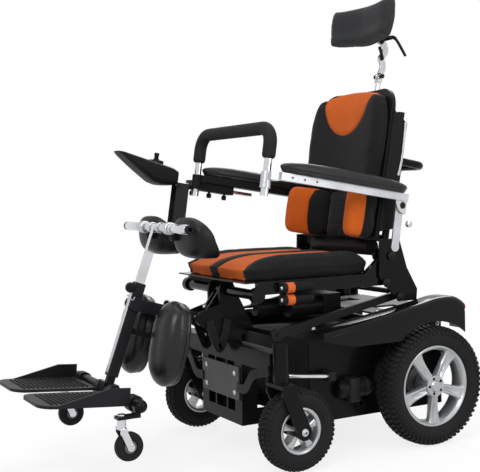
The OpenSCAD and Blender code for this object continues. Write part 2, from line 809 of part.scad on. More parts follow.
module buffers() color([0.8, 0.4, 0.12]) pair() {
    box([seat_w / 2, knee[0] + buffer_front + buffer_cap_l, buffer_z[0] - buffer_r],
        [seat_w / 2 + buffer_strap_t,
        knee[0] + buffer_front + buffer_l - buffer_cap_l, buffer_z[1] + buffer_r]);
    for (z = buffer_z) translate([seat_w / 2 + buffer_strap_t / 2 + buffer_r, knee[0] + buffer_front, z])
        rotate([-90, 0, 0])
        cylinder(r = buffer_r, h = buffer_l);
}

// Back carrier, kept upright by the control links

carrier_outline = [for (s = carrier_shares) [hip[0] + s[0] * carrier_w, hip[1] + s[1] * carrier_h]];
module back_carrier() color([0.07, 0.07, 0.075]) {
    pair() plate_x(carrier_outline, carrier_x, carrier_x + carrier_t);
    pair() bar_x(pin_r, back_lug_x - side_gap, carrier_x + carrier_t / 2, hip);
    bar_x(pin_r, -carrier_x - carrier_t / 2, carrier_x + carrier_t / 2, link_rear);
}

module arm_uprights() color([0.78, 0.79, 0.8]) pair() {
    strut_x([hip[0] + upright_w / 2, hip[1] + upright_w], arm_pivot, 2 * upright_ear_r, upright_x,
        upright_x + upright_t);
    bar_x(arm_pin_r, upright_x, quarter_x + quarter_t, arm_pivot);
}

module control_links() color([0.2, 0.2, 0.21]) pair() difference() {
    union() {
        strut_x(link_front, link_rear, link_h, link_x1 - link_t, link_x1);
        bar_x(link_eye_r, link_x1 - link_t, link_x1, link_front);
        bar_x(link_eye_r, link_x1 - link_t, link_x1, link_rear);
    }
    bar_x(pin_r + run_gap, link_x1 - link_t - cut, link_x1 + cut, link_front);
    bar_x(pin_r + run_gap, link_x1 - link_t - cut, link_x1 + cut, link_rear);
}

// Backrest

module back_canes() color([0.6, 0.61, 0.63]) back_frame() difference() {
    union() {
        pair() translate([cane_x, cane_back, -cane_r]) cylinder(r = cane_r, h = cane_h);
        pair() bar_x(back_lug_r, back_lug_x, back_lug_x + back_lug_t);
        for (z = [shell_low + cane_r, push_z, cane_h - 2 * cane_r])
            bar_x(cane_r, -cane_x, cane_x, [cane_back, z]);
        box([-stem_block / 2, stem_back - stem_block / 2, stem_z],
            [stem_block / 2, stem_back + stem_block / 2, stem_z + stem_block_h]);
        box([-stem_block / 4, cane_back, cane_h - 3 * cane_r], [stem_block / 4, stem_back, cane_h]);
    }
    bar_x(pin_r + run_gap, -cane_x - 2 * cane_r, cane_x + 2 * cane_r);
    translate([0, stem_back, head_stem_low - 2 * cane_r])
        cylinder(r = head_stem_r + run_gap, h = head_stem_l);
}

// The shell is a curved sheet cut to a shield outline with round top corners
function bow(x) = shell_wrap * pow(2 * x / back_w, 2);
shell_xs = [for (i = [-shell_steps:shell_steps]) back_w / 2 * i / shell_steps];
shell_plan = concat([for (x = shell_xs) [x, shell_back - bow(x)]],
    [for (i = [len(shell_xs) - 1:-1:0]) [shell_xs[i], shell_back - shell_t - bow(shell_xs[i])]]);
shell_corner = [for (a = [0:10:90]) [back_w / 2 - shell_round * (1 - cos(a)),
    back_h - shell_round * (1 - sin(a))]];
shell_outline = concat([[-back_w / 2, shell_low], [back_w / 2, shell_low]], shell_corner,
    [for (i = [len(shell_corner) - 1:-1:0]) [-shell_corner[i][0], shell_corner[i][1]]]);
// A cheek runs back from each side edge of the shell, past the cane
cheek_front_y = shell_back - shell_wrap - shell_t / 2;
cheek_rear_y = cane_back + cane_r + cheek_back;
cheek_high = back_h - shell_round;
cheek_outline = [[cheek_front_y, cheek_low], [cheek_rear_y, cheek_low + cheek_slope],
    [cheek_rear_y, cheek_high - 2 * cheek_slope], [cheek_front_y, cheek_high]];
module back_shell() color([0.06, 0.06, 0.065]) back_frame() {
    intersection() {
        linear_extrude(2 * back_h) polygon(shell_plan);
        translate([0, back_w / 2, 0]) rotate([90, 0, 0]) linear_extrude(back_w) polygon(shell_outline);
    }
    pair() plate_x(cheek_outline, back_w / 2 - seat_gap, back_w / 2 + cheek_t);
    bar_x(roll_r, -roll_x, roll_x, [-roll_front, roll_rise]);
}

module back_cushion() color([0.12, 0.12, 0.13]) back_frame()
    translate([0, shell_back - shell_t - seat_gap, (cushion_low + back_h) / 2]) rotate([90, 0, 0])
        cushion([back_w - 2 * shell_gap, back_h - cushion_low, back_cushion_t], back_edge_share,
            back_corner_share,
            [-back_channel_x, back_channel_x], channel_w, channel_depth, wrap = shell_wrap, count =
                [20, 16]);

// Plan of a side bolster: its back follows the shell, its front as shares of width and depth
bolster_shares = [[1, 0.55], [0.98, 0.85], [0.88, 1], [0.74, 1], [0.62, 0.93], [0, 0.22]];
function bolster_point(s) = let (x = lumbar_x + (s[0] - 1 / 2) * lumbar_w)
    [x, shell_back - shell_t - bow(x) - seat_gap - side_gap - s[1] * lumbar_t];
bolster_plan = concat([for (i = [0:lumbar_steps]) bolster_point([i / lumbar_steps, 0])],
    [for (s = bolster_shares) bolster_point(s)]);
module lumbar_pads() color([0.8, 0.36, 0.1]) back_frame() {
    pair() translate([0, 0, lumbar_low]) hull() {
        translate([0, 0, lumbar_round]) linear_extrude(lumbar_h - 2 * lumbar_round) polygon(bolster_plan);
        linear_extrude(lumbar_h) offset(delta = -lumbar_round) polygon(bolster_plan);
    }
    translate([0, shell_back - shell_t - bow(lumbar_x - lumbar_w / 2) - seat_gap,
        lumbar_low + lumbar_h / 2]) rotate([90, 0, 0])
        cushion([2 * (lumbar_x - lumbar_w / 2 - side_gap), lumbar_h, lumbar_mid_t], back_edge_share,
            seat_corner_share, count = [12, 10]);
}

module push_bar() color([0.07, 0.07, 0.075]) back_frame() translate([0, 0, push_z]) rotate([-90, 0, 0])
    hoop(push_r, push_x, cane_back + cane_r + seat_gap, push_reach, push_bend);

// Headrest

module headrest_stem() color([0.75, 0.76, 0.78]) back_frame() {
    translate([0, stem_back, head_stem_low]) cylinder(r = head_stem_r, h = head_stem_l);
    translate([0, stem_back, head_stem_low + head_stem_l])
        cube([2 * fork_outer, 2 * head_stem_r, head_eye_r / 2], center = true);
    pair() strut_x([stem_back, head_stem_low + head_stem_l], head_low, 2 * head_stem_r,
        head_link_t / 2 + seat_gap, fork_outer);
    bar_x(head_pin_r, -fork_outer, fork_outer, head_low);
}
module headrest_link() color([0.8, 0.81, 0.82]) back_frame() difference() {
    union() {
        strut_x(head_low, head_high, head_link_w, -head_link_t / 2, head_link_t / 2);
    }
    bar_x(head_pin_r + run_gap, -head_link_t, head_link_t, head_low);
    bar_x(head_pin_r + run_gap, -head_link_t, head_link_t, head_high);
}
module headrest_mount() color([0.12, 0.12, 0.13]) back_frame() {
    pair() strut_x(head_high, [head_plate_y, head_rise], head_link_w, head_link_t / 2 + seat_gap,
        fork_outer);
    bar_x(head_pin_r, -fork_outer, fork_outer + lever_l, head_high);
    box([-head_h / 3, head_plate_y - 2 * head_fork_t, head_rise - head_h / 3],
        [head_h / 3, head_plate_y - head_fork_t, head_rise + head_h / 3]);
}
module headrest_pad() color([0.15, 0.15, 0.16]) back_frame()
    translate([0, head_plate_y - 2 * head_fork_t - seat_gap, head_rise]) rotate([90, 0, 0])
        cushion([head_w, head_h, head_pad_t], back_edge_share, head_corner_share, wrap = head_wrap, count =
            [18, 10]);

// Armrests, drawn on the left side

module arm_socket() {
    box([grab_w / 2 - socket_r / 2, -arm_len - socket_reach, arm_rail_z - side_gap],
        [arm_track / 2 + side_gap, -arm_len + side_gap, arm_rail_z + arm_rail_h - side_gap]);
    translate([grab_w / 2, -arm_len - socket_reach, socket_z]) cylinder(r = socket_r, h = socket_h);
}
module socket_bore() translate([grab_w / 2, -arm_len - socket_reach, socket_z - cut])
    cylinder(r = post_r + run_gap, h = socket_h + 2 * cut);
module quarter_plate() intersection() {
    bar_x(quarter_r, quarter_x, quarter_x + quarter_t, [arm_rear, arm_rail_z + side_gap]);
    box([quarter_x, arm_rear - quarter_r, arm_rail_z - quarter_r],
        [quarter_x + quarter_t, arm_rear, arm_rail_z + side_gap]);
}
module left_arm_rail() color([0.78, 0.79, 0.8]) arm_frame() difference() {
    union() {
        box([arm_track / 2 - arm_rail_w / 2, -arm_len, arm_rail_z],
            [arm_track / 2 + arm_rail_w / 2, arm_rear, arm_rail_z + arm_rail_h]);
        quarter_plate();
        arm_socket();
    }
    bar_x(arm_pin_r + run_gap, quarter_x - cut, quarter_x + quarter_t + cut);
    socket_bore();
    for (i = [0:2]) bar_x(hole_r, 0, arm_track,
        [-hole_first + i * hole_pitch, arm_rail_z + arm_rail_h / 2]);
}
module right_arm_rail() color([0.09, 0.09, 0.1]) arm_frame() mirror([1, 0, 0]) difference() {
    union() {
        box([arm_track / 2 - right_body_w / 2, -arm_len, arm_rail_z],
            [arm_track / 2 + right_body_w / 2, arm_rear, arm_rail_z + arm_rail_h]);
        quarter_plate();
        arm_socket();
        box([rod_x - holder_w / 2, -holder_front, rod_z - holder_h / 2], [rod_x + holder_w / 2,
            -holder_front + holder_l, arm_rail_z + side_gap]);
    }
    bar_x(arm_pin_r + run_gap, quarter_x - cut, quarter_x + quarter_t + cut);
    socket_bore();
    for (x = rod_xs) translate([x, -pod_rear, rod_z]) rotate([-90, 0, 0])
        cylinder(r = rod_r + run_gap, h = pod_rear);
    for (y = knob_ys) translate([rod_x, y, rod_z - holder_h / 2 - cut])
        cylinder(r = knob_stem_r + run_gap, h = knob_stem_l + 2 * cut);
}
module arm_pad() color([0.1, 0.1, 0.11]) arm_frame()
    translate([arm_track / 2, -arm_len - arm_pad_front + arm_pad_l / 2, arm_rail_z + arm_rail_h + seat_gap])
        cushion([arm_pad_w, arm_pad_l, arm_pad_t], back_edge_share, arm_corner_share, count = [8, 22]);
module left_arm_pad() arm_pad();
module right_arm_pad() mirror([1, 0, 0]) arm_pad();

module grab_place() arm_frame() translate([0, -arm_len - socket_reach, 0]) children();
module grab_bar() color([0.8, 0.81, 0.83]) grab_place() hoop(post_r, grab_w / 2, post_low, grab_rise,
    grab_bend);
module grab_foam() color([0.14, 0.14, 0.15]) grab_place() difference() {
    hoop(foam_r, grab_w / 2, foam_low, grab_rise, grab_bend);
    hoop(post_r + run_gap, grab_w / 2, foam_low - cut, grab_rise, grab_bend);
}

// Joystick, on the right armrest

module joystick_rods() color([0.8, 0.8, 0.82]) arm_frame() {
    for (x = rod_xs) translate([-x, -pod_rear, rod_z]) rotate([-90, 0, 0])
        cylinder(r = rod_r, h = pod_rear - rod_rear);
    box([-rod_xs[1] - rod_r, -rod_rear - rod_r, rod_z - rod_r],
        [-rod_xs[0] + rod_r, -rod_rear, rod_z + rod_r]);
}
pod_outline = [for (s = pod_shares) [-pod_rear - s[0] * pod_l, pod_z + s[1] * pod_h]];
module stick_place() arm_frame() translate([-rod_x, -pod_rear - pod_stick_share * pod_l, stick_z])
    children();
module joystick_pod() color([0.1, 0.1, 0.11]) difference() {
    arm_frame() plate_x(pod_outline, -rod_x - pod_w / 2, -rod_x + pod_w / 2);
    stick_place() translate([0, 0, -pocket_depth / 2]) cylinder(r = pocket_r, h = 2 * pod_h);
    stick_place() bar_x(trunnion_r + run_gap, -pocket_r - trunnion_l - seat_gap,
        pocket_r + trunnion_l + seat_gap);
}
module joystick_gimbal() color([0.5, 0.5, 0.52]) stick_place() difference() {
    union() {
        translate([0, 0, -ring_h / 2]) cylinder(r = ring_r[1], h = ring_h);
        bar_x(trunnion_r, -pocket_r - trunnion_l, pocket_r + trunnion_l);
    }
    translate([0, 0, -ring_h]) cylinder(r = ring_r[0], h = 2 * ring_h);
    rotate([90, 0, 0]) cylinder(r = trunnion_r + run_gap, h = 2 * ring_r[1] + cut, center = true);
}
module joystick_stick() color([0.08, 0.08, 0.09]) stick_place() {
    translate([0, 0, -stick_r]) cylinder(r = stick_r, h = stick_r + stick_h);
    rotate([90, 0, 0]) cylinder(r = trunnion_r, h = 2 * ring_r[1], center = true);
    translate([0, 0, boot_low]) cylinder(r1 = boot_r, r2 = boot_top_r, h = boot_h);
    translate([0, 0, stick_h - stick_knob_h]) cylinder(r = stick_knob_r, h = stick_knob_h);
}
module rod_knob(y) color([0.06, 0.06, 0.065]) arm_frame() translate([-rod_x, y, rod_z - holder_h / 2]) {
    cylinder(r = knob_stem_r, h = knob_stem_l);
    translate([0, 0, -knob_h - seat_gap]) cylinder(r = knob_r, h = knob_h);
    translate([0, 0, -knob_h]) cylinder(r = knob_stem_r, h = knob_h + cut);
}
module rod_knob_front() rod_knob(knob_ys[0]);
module rod_knob_middle() rod_knob(knob_ys[1]);
module rod_knob_rear() rod_knob(knob_ys[2]);

// A webbing strap folded over the joystick rods
module strap() color([0.12, 0.12, 0.13]) arm_frame()
    translate([-rod_x, -holder_front - strap_gap / 2 - strap_w, 0]) {
    box([-strap_x - strap_t, 0, rod_z + rod_r + seat_gap],
        [strap_x + strap_t, strap_w, rod_z + rod_r + seat_gap + strap_t]);
    pair() box([strap_x, 0, rod_z - strap_l],
        [strap_x + strap_t, strap_w, rod_z + rod_r + seat_gap + strap_t]);
}

// Legrest

module legrest_column() color([0.35, 0.36, 0.37]) difference() {
    union() {
        leg_frame() box([-column_w / 2, -column_d / 2, -column_l], [column_w / 2, column_d / 2, 0]);
        pair() strut_x(leg_pivot, in_leg(0, -leg_plate_h), 2 * leg_ear_r, column_w / 2 - seat_gap,
            column_w / 2 + leg_plate_t);
        leg_frame() box([-pad_bar_r / 2, 0, calf_z - pad_bar_r],
            [pad_bar_r / 2, calf_back + pad_bar_r, calf_z + pad_bar_r]);
        leg_frame() bar_x(pad_bar_r, -calf_x, calf_x, [calf_back, calf_z]);
    }
    leg_frame() box([-column_w / 2 + column_wall, -column_d / 2 + column_wall, -column_l - cut],
        [column_w / 2 - column_wall, column_d / 2 - column_wall, cut]);
    bar_x(pin_r + run_gap, -tower_x[1], tower_x[1], leg_pivot);
}
module calf_pads() color([0.17, 0.17, 0.18]) leg_frame() pair()
    translate([calf_x, calf_back - pad_bar_r - seat_gap, calf_z]) rotate([90 + calf_turn, 0, 0])
        cushion([calf_w, calf_h, calf_t], back_edge_share, head_corner_share,
            taper_share = calf_taper_share, count = [12, 14]);

module legrest_slider() color([0.07, 0.07, 0.075]) difference() {
    union() {
        leg_frame() box([-knee_rod_w / 2, -knee_rod_d / 2, -slider_l],
            [knee_rod_w / 2, knee_rod_d / 2, -slider_top]);
        leg_frame() box([-foot_clamp / 2, -foot_clamp / 2, -slider_l - foot_clamp / 2],
            [foot_clamp / 2, foot_clamp / 2, -slider_l + foot_clamp / 2]);
        bar_x(foot_tube_r, -foot_tube_half, foot_tube_half, foot_axis);
        pair() translate([foot_tube_half, foot_axis[0], foot_axis[1]]) sphere(foot_tube_r);
        pair() box([foot_x - bracket_w / 2, foot_swivel_y - bracket_w / 2, bracket_z],
            [foot_x + bracket_w / 2, foot_axis[0], bracket_z + bracket_t]);
        pair() box([foot_x - bracket_w / 2, foot_axis[0] - bracket_w / 2, bracket_z],
            [foot_x + bracket_w / 2, foot_axis[0], foot_axis[1]]);
    }
    pair() translate([foot_x, foot_swivel_y, bracket_z - cut])
        cylinder(r = foot_stem_r + run_gap, h = bracket_t + 2 * cut);
}

module footplate() color([0.3, 0.31, 0.32]) translate([0, foot_axis[0], foot_axis[1]])
    rotate([-foot_tilt, 0, 0]) difference() {
    union() {
        box([foot_inner, -foot_l + toe_r, -foot_t / 2], [foot_inner + foot_w, -foot_tube_r, foot_t / 2]);
        box([foot_inner + toe_r, -foot_l, -foot_t / 2],
            [foot_inner + foot_w - toe_r, -foot_tube_r, foot_t / 2]);
        for (x = [foot_inner + toe_r, foot_inner + foot_w - toe_r])
            translate([x, -foot_l + toe_r, -foot_t / 2]) cylinder(r = toe_r, h = foot_t);
        plate_x([for (s = guard_shares) [-foot_tube_r - s[0] * foot_l, s[1] * guard_h]],
            foot_inner + foot_w - guard_t, foot_inner + foot_w);
        for (x = [foot_inner, foot_inner + foot_w - sleeve_l]) bar_x(sleeve_r, x, x + sleeve_l);
    }
    bar_x(foot_tube_r + run_gap, 0, foot_caster_track);
}
module footplate_left() footplate();
module footplate_right() mirror([1, 0, 0]) footplate();

module foot_caster_place() translate([foot_x, foot_swivel_y, 0]) children();
module foot_fork() color([0.78, 0.79, 0.8]) foot_caster_place() {
    translate([0, 0, foot_crown_z])
        cylinder(r = foot_stem_r, h = bracket_z + bracket_t + seat_gap - foot_crown_z);
    translate([0, 0, foot_crown_z]) cylinder(r = 2 * foot_stem_r, h = bracket_z - seat_gap - foot_crown_z);
    translate([0, 0, bracket_z + bracket_t + seat_gap])
        cylinder(r = 2 * foot_stem_r - side_gap, h = foot_crown_t);
    box([-foot_fork_x - foot_fork_t, -foot_fork_w / 2, foot_crown_z],
        [foot_fork_x + foot_fork_t, foot_fork_w / 2, foot_crown_z + foot_crown_t]);
    pair() strut_x([0, foot_crown_z + foot_crown_t - foot_fork_w / 2], [foot_trail, foot_wheel_z],
        foot_fork_w, foot_fork_x, foot_fork_x + foot_fork_t);
    bar_x(foot_axle_r, -foot_fork_x - foot_fork_t, foot_fork_x + foot_fork_t, [foot_trail, foot_wheel_z]);
}
module foot_wheel() color([0.15, 0.15, 0.16]) foot_caster_place() translate([0, foot_trail, foot_wheel_z])
    difference() {
    union() {
        tyre(foot_caster_r / 2, foot_caster_r, foot_tyre_w);
        bar_x(foot_caster_r / 2 + side_gap, -foot_tyre_w / 3, foot_tyre_w / 3);
    }
    bar_x(foot_axle_r + run_gap, -foot_tyre_w, foot_tyre_w);
}
module foot_fork_left() foot_fork();
module foot_wheel_left() foot_wheel();
module foot_fork_right() mirror([1, 0, 0]) foot_fork();
module foot_wheel_right() mirror([1, 0, 0]) foot_wheel();

// Knee bar and cups

module knee_bar() color([0.82, 0.83, 0.85]) {
    bar_x(knee_bar_r, -knee_bar_l / 2, knee_bar_l / 2, knee_axis);
    leg_frame() box([-knee_rod_w / 2, -knee_rod_d / 2, -knee_rod_in],
        [knee_rod_w / 2, knee_rod_d / 2, knee_bar_z]);
}
module d_shape(w, d, r) {
    translate([r, 0]) square([w - 2 * r, d]);
    translate([0, r]) square([w, d - r]);
    for (x = [r, w - r]) translate([x, r]) circle(r);
}
module knee_cup() color([0.1, 0.1, 0.11]) difference() {
    union() {
        translate([cup_inner, knee_axis[0] + knee_bar_r + cup_gap, knee_axis[1] - cup_low])
            linear_extrude(cup_h) difference() {
            d_shape(cup_w, cup_depth, cup_round);
            translate([cup_t, cup_t]) d_shape(cup_w - 2 * cup_t, cup_depth, cup_round - cup_t);
        }
        bar_x(clamp_r, clamp_x - clamp_w / 2, clamp_x + clamp_w / 2, knee_axis);
        box([clamp_x - clamp_w / 2, knee_axis[0], knee_axis[1] - clamp_r], [clamp_x + clamp_w / 2,
            knee_axis[0] + knee_bar_r + cup_gap + cup_t / 2, knee_axis[1]]);
    }
    bar_x(knee_bar_r + run_gap, clamp_x - clamp_w, clamp_x + clamp_w, knee_axis);
}
module knee_cup_left() knee_cup();
module knee_cup_right() mirror([1, 0, 0]) knee_cup();

base_frame();
battery_pack();
drive_motors();
gearboxes();
fenders();
cover_plates();
tail_lights();
stand_actuator();
lift_rod();
rear_rim_left();
rear_tyre_left();
rear_rim_right();
rear_tyre_right();
caster_fork_left();
caster_rim_left();
caster_tyre_left();
caster_fork_right();
caster_rim_right();
caster_tyre_right();
seat_frame();
seat_cushion();
buffers();
back_carrier();
arm_uprights();
control_links();
back_canes();
back_shell();
back_cushion();
lumbar_pads();
push_bar();
headrest_stem();
headrest_link();
headrest_mount();
headrest_pad();
left_arm_rail();
left_arm_pad();
right_arm_rail();
right_arm_pad();
grab_bar();
grab_foam();
joystick_rods();
joystick_pod();
joystick_gimbal();
joystick_stick();
rod_knob_front();
rod_knob_middle();
rod_knob_rear();
strap();
legrest_column();
calf_pads();
legrest_slider();
footplate_left();
footplate_right();
foot_fork_left();
foot_wheel_left();
foot_fork_right();
foot_wheel_right();
knee_bar();
knee_cup_left();
knee_cup_right();
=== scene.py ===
# A standing power wheelchair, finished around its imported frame.
# Metres, +Z up. The chair faces -Y and its left side is +X.
import math

import bmesh
import bpy
from mathutils import Matrix, Vector
from mathutils.bvhtree import BVHTree


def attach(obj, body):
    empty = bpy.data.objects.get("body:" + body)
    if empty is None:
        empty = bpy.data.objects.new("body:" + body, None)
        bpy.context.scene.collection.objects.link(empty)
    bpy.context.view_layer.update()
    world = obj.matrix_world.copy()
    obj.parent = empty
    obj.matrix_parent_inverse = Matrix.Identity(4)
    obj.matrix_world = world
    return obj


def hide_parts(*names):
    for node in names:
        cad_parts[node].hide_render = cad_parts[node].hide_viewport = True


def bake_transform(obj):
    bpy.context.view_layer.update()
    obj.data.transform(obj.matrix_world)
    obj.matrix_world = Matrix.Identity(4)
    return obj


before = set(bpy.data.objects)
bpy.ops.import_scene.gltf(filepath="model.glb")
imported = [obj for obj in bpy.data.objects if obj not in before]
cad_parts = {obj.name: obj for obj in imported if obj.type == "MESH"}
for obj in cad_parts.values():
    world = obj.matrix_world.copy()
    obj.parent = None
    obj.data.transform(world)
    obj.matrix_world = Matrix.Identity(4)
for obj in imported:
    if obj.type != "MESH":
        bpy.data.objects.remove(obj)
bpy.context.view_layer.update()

scene = bpy.context.scene


# Three tilted frames of the chair: a hinge point and a lean back from upright
def at(x, y, z):
    """A shift to a place."""
    return Matrix.Translation((x, y, z))


def spun(degrees, axis):
    """A turn about one axis."""
    return Matrix.Rotation(math.radians(degrees), 4, axis)


back_place = at(0, 0.393, 0.556) @ spun(-10, "X")
arm_place = at(0, 0.424, 0.699) @ spun(-9, "X")
leg_place = at(0, -0.305, 0.505) @ spun(-20, "X")

# The camera stands ahead of the chair and to its left, a little above the armrests.
# It looks slightly down, with a long lens.
camera_place = Vector((2.430, -1.346, 0.765))
camera_turn = math.radians(60.73)
camera_pitch = math.radians(2.94)
camera_roll = math.radians(-1.10)
photo_width = 480
focal_pixels = 954.4
sensor = 36.0

level_right = Vector((math.cos(camera_turn), math.sin(camera_turn), 0))
camera_back = Vector((
    math.sin(camera_turn) * math.cos(camera_pitch),
    -math.cos(camera_turn) * math.cos(camera_pitch),
    math.sin(camera_pitch)))
level_up = camera_back.cross(level_right)
camera_right = math.cos(camera_roll) * level_right + math.sin(camera_roll) * level_up
camera_up = math.cos(camera_roll) * level_up - math.sin(camera_roll) * level_right
camera_data = bpy.data.cameras.new("camera")
camera_data.sensor_width = sensor
camera_data.lens = focal_pixels / photo_width * sensor
camera = bpy.data.objects.new("camera", camera_data)
camera.matrix_world = Matrix.Translation(camera_place) @ Matrix(
    (camera_right, camera_up, camera_back)).transposed().to_4x4()
scene.collection.objects.link(camera)
scene.camera = camera
scene.view_settings.view_transform = "Standard"


# The studio is a white sweep under soft boxes. The background is white to the camera and
# in reflections, and lights the chair more gently than it shows.
def add(tree, kind, ins=None, **settings):
    """A node of a tree, with its settings and with its inputs set or linked."""
    made = tree.nodes.new(kind)
    for key, value in settings.items():
        setattr(made, key, value)
    for key, value in (ins or {}).items():
        if isinstance(value, bpy.types.NodeSocket):
            tree.links.new(value, made.inputs[key])
        else:
            made.inputs[key].default_value = value
    return made


def math_node(tree, operation, a, b=0.0, c=0.0, clamp=False):
    """The result of a sum, product or the like."""
    return add(tree, "ShaderNodeMath", {0: a, 1: b, 2: c}, operation=operation, use_clamp=clamp).outputs[0]


def mix_colour(tree, share, a, b):
    """A colour between a and b."""
    return add(tree, "ShaderNodeMix", {"Factor": share, "A": a, "B": b}, data_type="RGBA").outputs["Result"]


def texture(tree, kind, settings=None, **ins):
    """The outputs of a texture that is fixed to the piece."""
    spot = add(tree, "ShaderNodeTexCoord").outputs["Object"]
    return add(tree, "ShaderNodeTex" + kind, {"Vector": spot, **ins}, **(settings or {})).outputs


def seen_directly(tree):
    """1 for a ray that shows the background itself, in the picture or in a reflection."""
    path = add(tree, "ShaderNodeLightPath").outputs
    shown = math_node(tree, "MAXIMUM", path["Is Camera Ray"], path["Is Transmission Ray"])
    return math_node(tree, "MAXIMUM", shown, path["Is Glossy Ray"])


world_light = 0.50
world = bpy.data.worlds.new("studio")
scene.world = world
world.use_nodes = True
sky = world.node_tree
sky.nodes.clear()
strength = add(sky, "ShaderNodeMix", {
    "Factor": seen_directly(sky), "A": world_light, "B": 1.0}, data_type="FLOAT")
backdrop = add(sky, "ShaderNodeBackground", {
    "Color": (1, 1, 1, 1), "Strength": strength.outputs["Result"]})
add(sky, "ShaderNodeOutputWorld", {"Surface": backdrop.outputs[0]})

floor_half = 14.0
shadow_reach = (0.9, 2.6)
near_white = 0.82
floor_mesh = bpy.data.meshes.new("floor")
corners = [(x * floor_half, y * floor_half, 0) for x, y in ((-1, -1), (1, -1), (1, 1), (-1, 1))]
floor_mesh.from_pydata(corners, [], [(0, 1, 2, 3)])
floor = bpy.data.objects.new("floor", floor_mesh)
scene.collection.objects.link(floor)
paper = bpy.data.materials.new("white_paper")
paper.use_nodes = True
tree = paper.node_tree
tree.nodes.clear()
fibre = texture(tree, "Noise", Scale=40.0)["Fac"]
tint = mix_colour(tree, fibre, (0.93, 0.93, 0.93, 1), (0.96, 0.96, 0.96, 1))
matt = add(tree, "ShaderNodeBsdfDiffuse", {"Color": tint})
white = add(tree, "ShaderNodeEmission", {"Color": (1, 1, 1, 1), "Strength": 1.0})
place = add(tree, "ShaderNodeTexCoord").outputs["Object"]
span = add(tree, "ShaderNodeVectorMath", {0: place}, operation="LENGTH")
far = add(tree, "ShaderNodeMapRange", {
    "Value": span.outputs["Value"], "From Min": shadow_reach[0], "From Max": shadow_reach[1],
    "To Min": near_white, "To Max": 1.0}, interpolation_type="SMOOTHSTEP").outputs["Result"]
fade = math_node(tree, "MULTIPLY", far, seen_directly(tree))
sheet = add(tree, "ShaderNodeMixShader", {0: fade, 1: matt.outputs[0], 2: white.outputs[0]})
add(tree, "ShaderNodeOutputMaterial", {"Surface": sheet.outputs[0]})
floor_mesh.materials.append(paper)

# Soft boxes: name, place, width, height and power in watts, each aimed at the seat
aim_point = Vector((0, 0, 0.6))
soft_boxes = [
    ("key_box", (1.9, -2.3, 2.6), 1.6, 1.6, 62.0),
    ("side_box", (3.0, 1.2, 1.7), 1.0, 2.0, 30.0),
    ("back_box", (-1.8, 2.2, 2.4), 1.6, 1.0, 34.0),
    ("top_box", (0.2, 0.0, 3.2), 2.0, 2.0, 30.0)]
for name, where, wide, high, power in soft_boxes:
    lamp = bpy.data.lights.new(name, "AREA")
    lamp.shape = "RECTANGLE"
    lamp.size = wide
    lamp.size_y = high
    lamp.energy = power
    box = bpy.data.objects.new(name, lamp)
    box.location = where
    box.rotation_euler = (aim_point - Vector(where)).to_track_quat("-Z", "Y").to_euler()
    scene.collection.objects.link(box)


# The base frame is welded steel tube and plate under a satin black powder coat, with a
# fine orange-peel texture, edges rubbed by use and a little dust on what faces up.
def shader_group(name, inputs, outputs):
    """An empty shader node group with named sockets."""
    tree = bpy.data.node_groups.new(name, "ShaderNodeTree")
    for label, value in inputs:
        socket = tree.interface.new_socket(label, in_out="INPUT", socket_type="NodeSocketFloat")
        socket.default_value = value
    for label, kind in outputs:
        tree.interface.new_socket(label, in_out="OUTPUT", socket_type="NodeSocket" + kind)
    return tree, tree.nodes.new("NodeGroupInput").outputs, tree.nodes.new("NodeGroupOutput").inputs


edge_group, given, result = shader_group(
    "rubbed_edge", [("Radius", 0.001)], [("Mask", "Float"), ("Normal", "Vector")])
rounded = add(edge_group, "ShaderNodeBevel", {"Radius": given["Radius"]}, samples=6).outputs["Normal"]
face = add(edge_group, "ShaderNodeNewGeometry").outputs["Normal"]
lean = add(edge_group, "ShaderNodeVectorMath", {0: rounded, 1: face}, operation="DOT_PRODUCT")
patch = texture(edge_group, "Noise", Scale=55.0, Detail=3.0)["Fac"]
turn = math_node(edge_group, "SUBTRACT", 1.0, lean.outputs["Value"])
worn = math_node(edge_group, "MULTIPLY", turn, math_node(edge_group, "MULTIPLY", patch, 7.0))
edge_group.links.new(math_node(edge_group, "MINIMUM", worn, 1.0), result["Mask"])
edge_group.links.new(rounded, result["Normal"])

grain_group, given, result = shader_group(
    "fine_grain", [("Scale", 600.0), ("Patch", 14.0)], [("Height", "Float"), ("Tone", "Float")])
pebble = texture(grain_group, "Noise", Scale=given["Scale"], Detail=2.0)["Fac"]
cloud = texture(grain_group, "Noise", Scale=given["Patch"], Detail=4.0)["Fac"]
grain_group.links.new(pebble, result["Height"])
grain_group.links.new(cloud, result["Tone"])

dust_group, given, result = shader_group("settled_dust", [("Amount", 0.1)], [("Mask", "Float")])
face = add(dust_group, "ShaderNodeNewGeometry").outputs["Normal"]
upward = add(dust_group, "ShaderNodeSeparateXYZ", {0: face}).outputs["Z"]
speck = texture(dust_group, "Noise", Scale=30.0, Detail=6.0)["Fac"]
flat_top = math_node(dust_group, "MULTIPLY_ADD", upward, 0.8, -0.2, clamp=True)
spread = math_node(dust_group, "MULTIPLY", flat_top, speck)
dust_group.links.new(math_node(dust_group, "MULTIPLY", spread, given["Amount"]), result["Mask"])

dust_colour = (0.12, 0.115, 0.11, 1)


def use_group(tree, group, **values):
    """The outputs of a shader group placed in a material with its own values."""
    return add(tree, "ShaderNodeGroup", values, node_tree=group).outputs


def shade(colour, factor=1.0):
    """A colour made lighter or darker, with full alpha."""
    return tuple(min(1.0, part * factor) for part in colour[:3]) + (1,)


def principled(name, **values):
    """A new material, its node tree and its shader with these values."""
    material = bpy.data.materials.new(name)
    material.use_nodes = True
    shader = material.node_tree.nodes["Principled BSDF"]
    for key, value in values.items():
        shader.inputs[key.replace("_", " ")].default_value = value
    return material, material.node_tree, shader


def feed(tree, shader, **sources):
    """Links sources to the inputs of a shader."""
    for key, source in sources.items():
        tree.links.new(source, shader.inputs[key.replace("_", " ")])


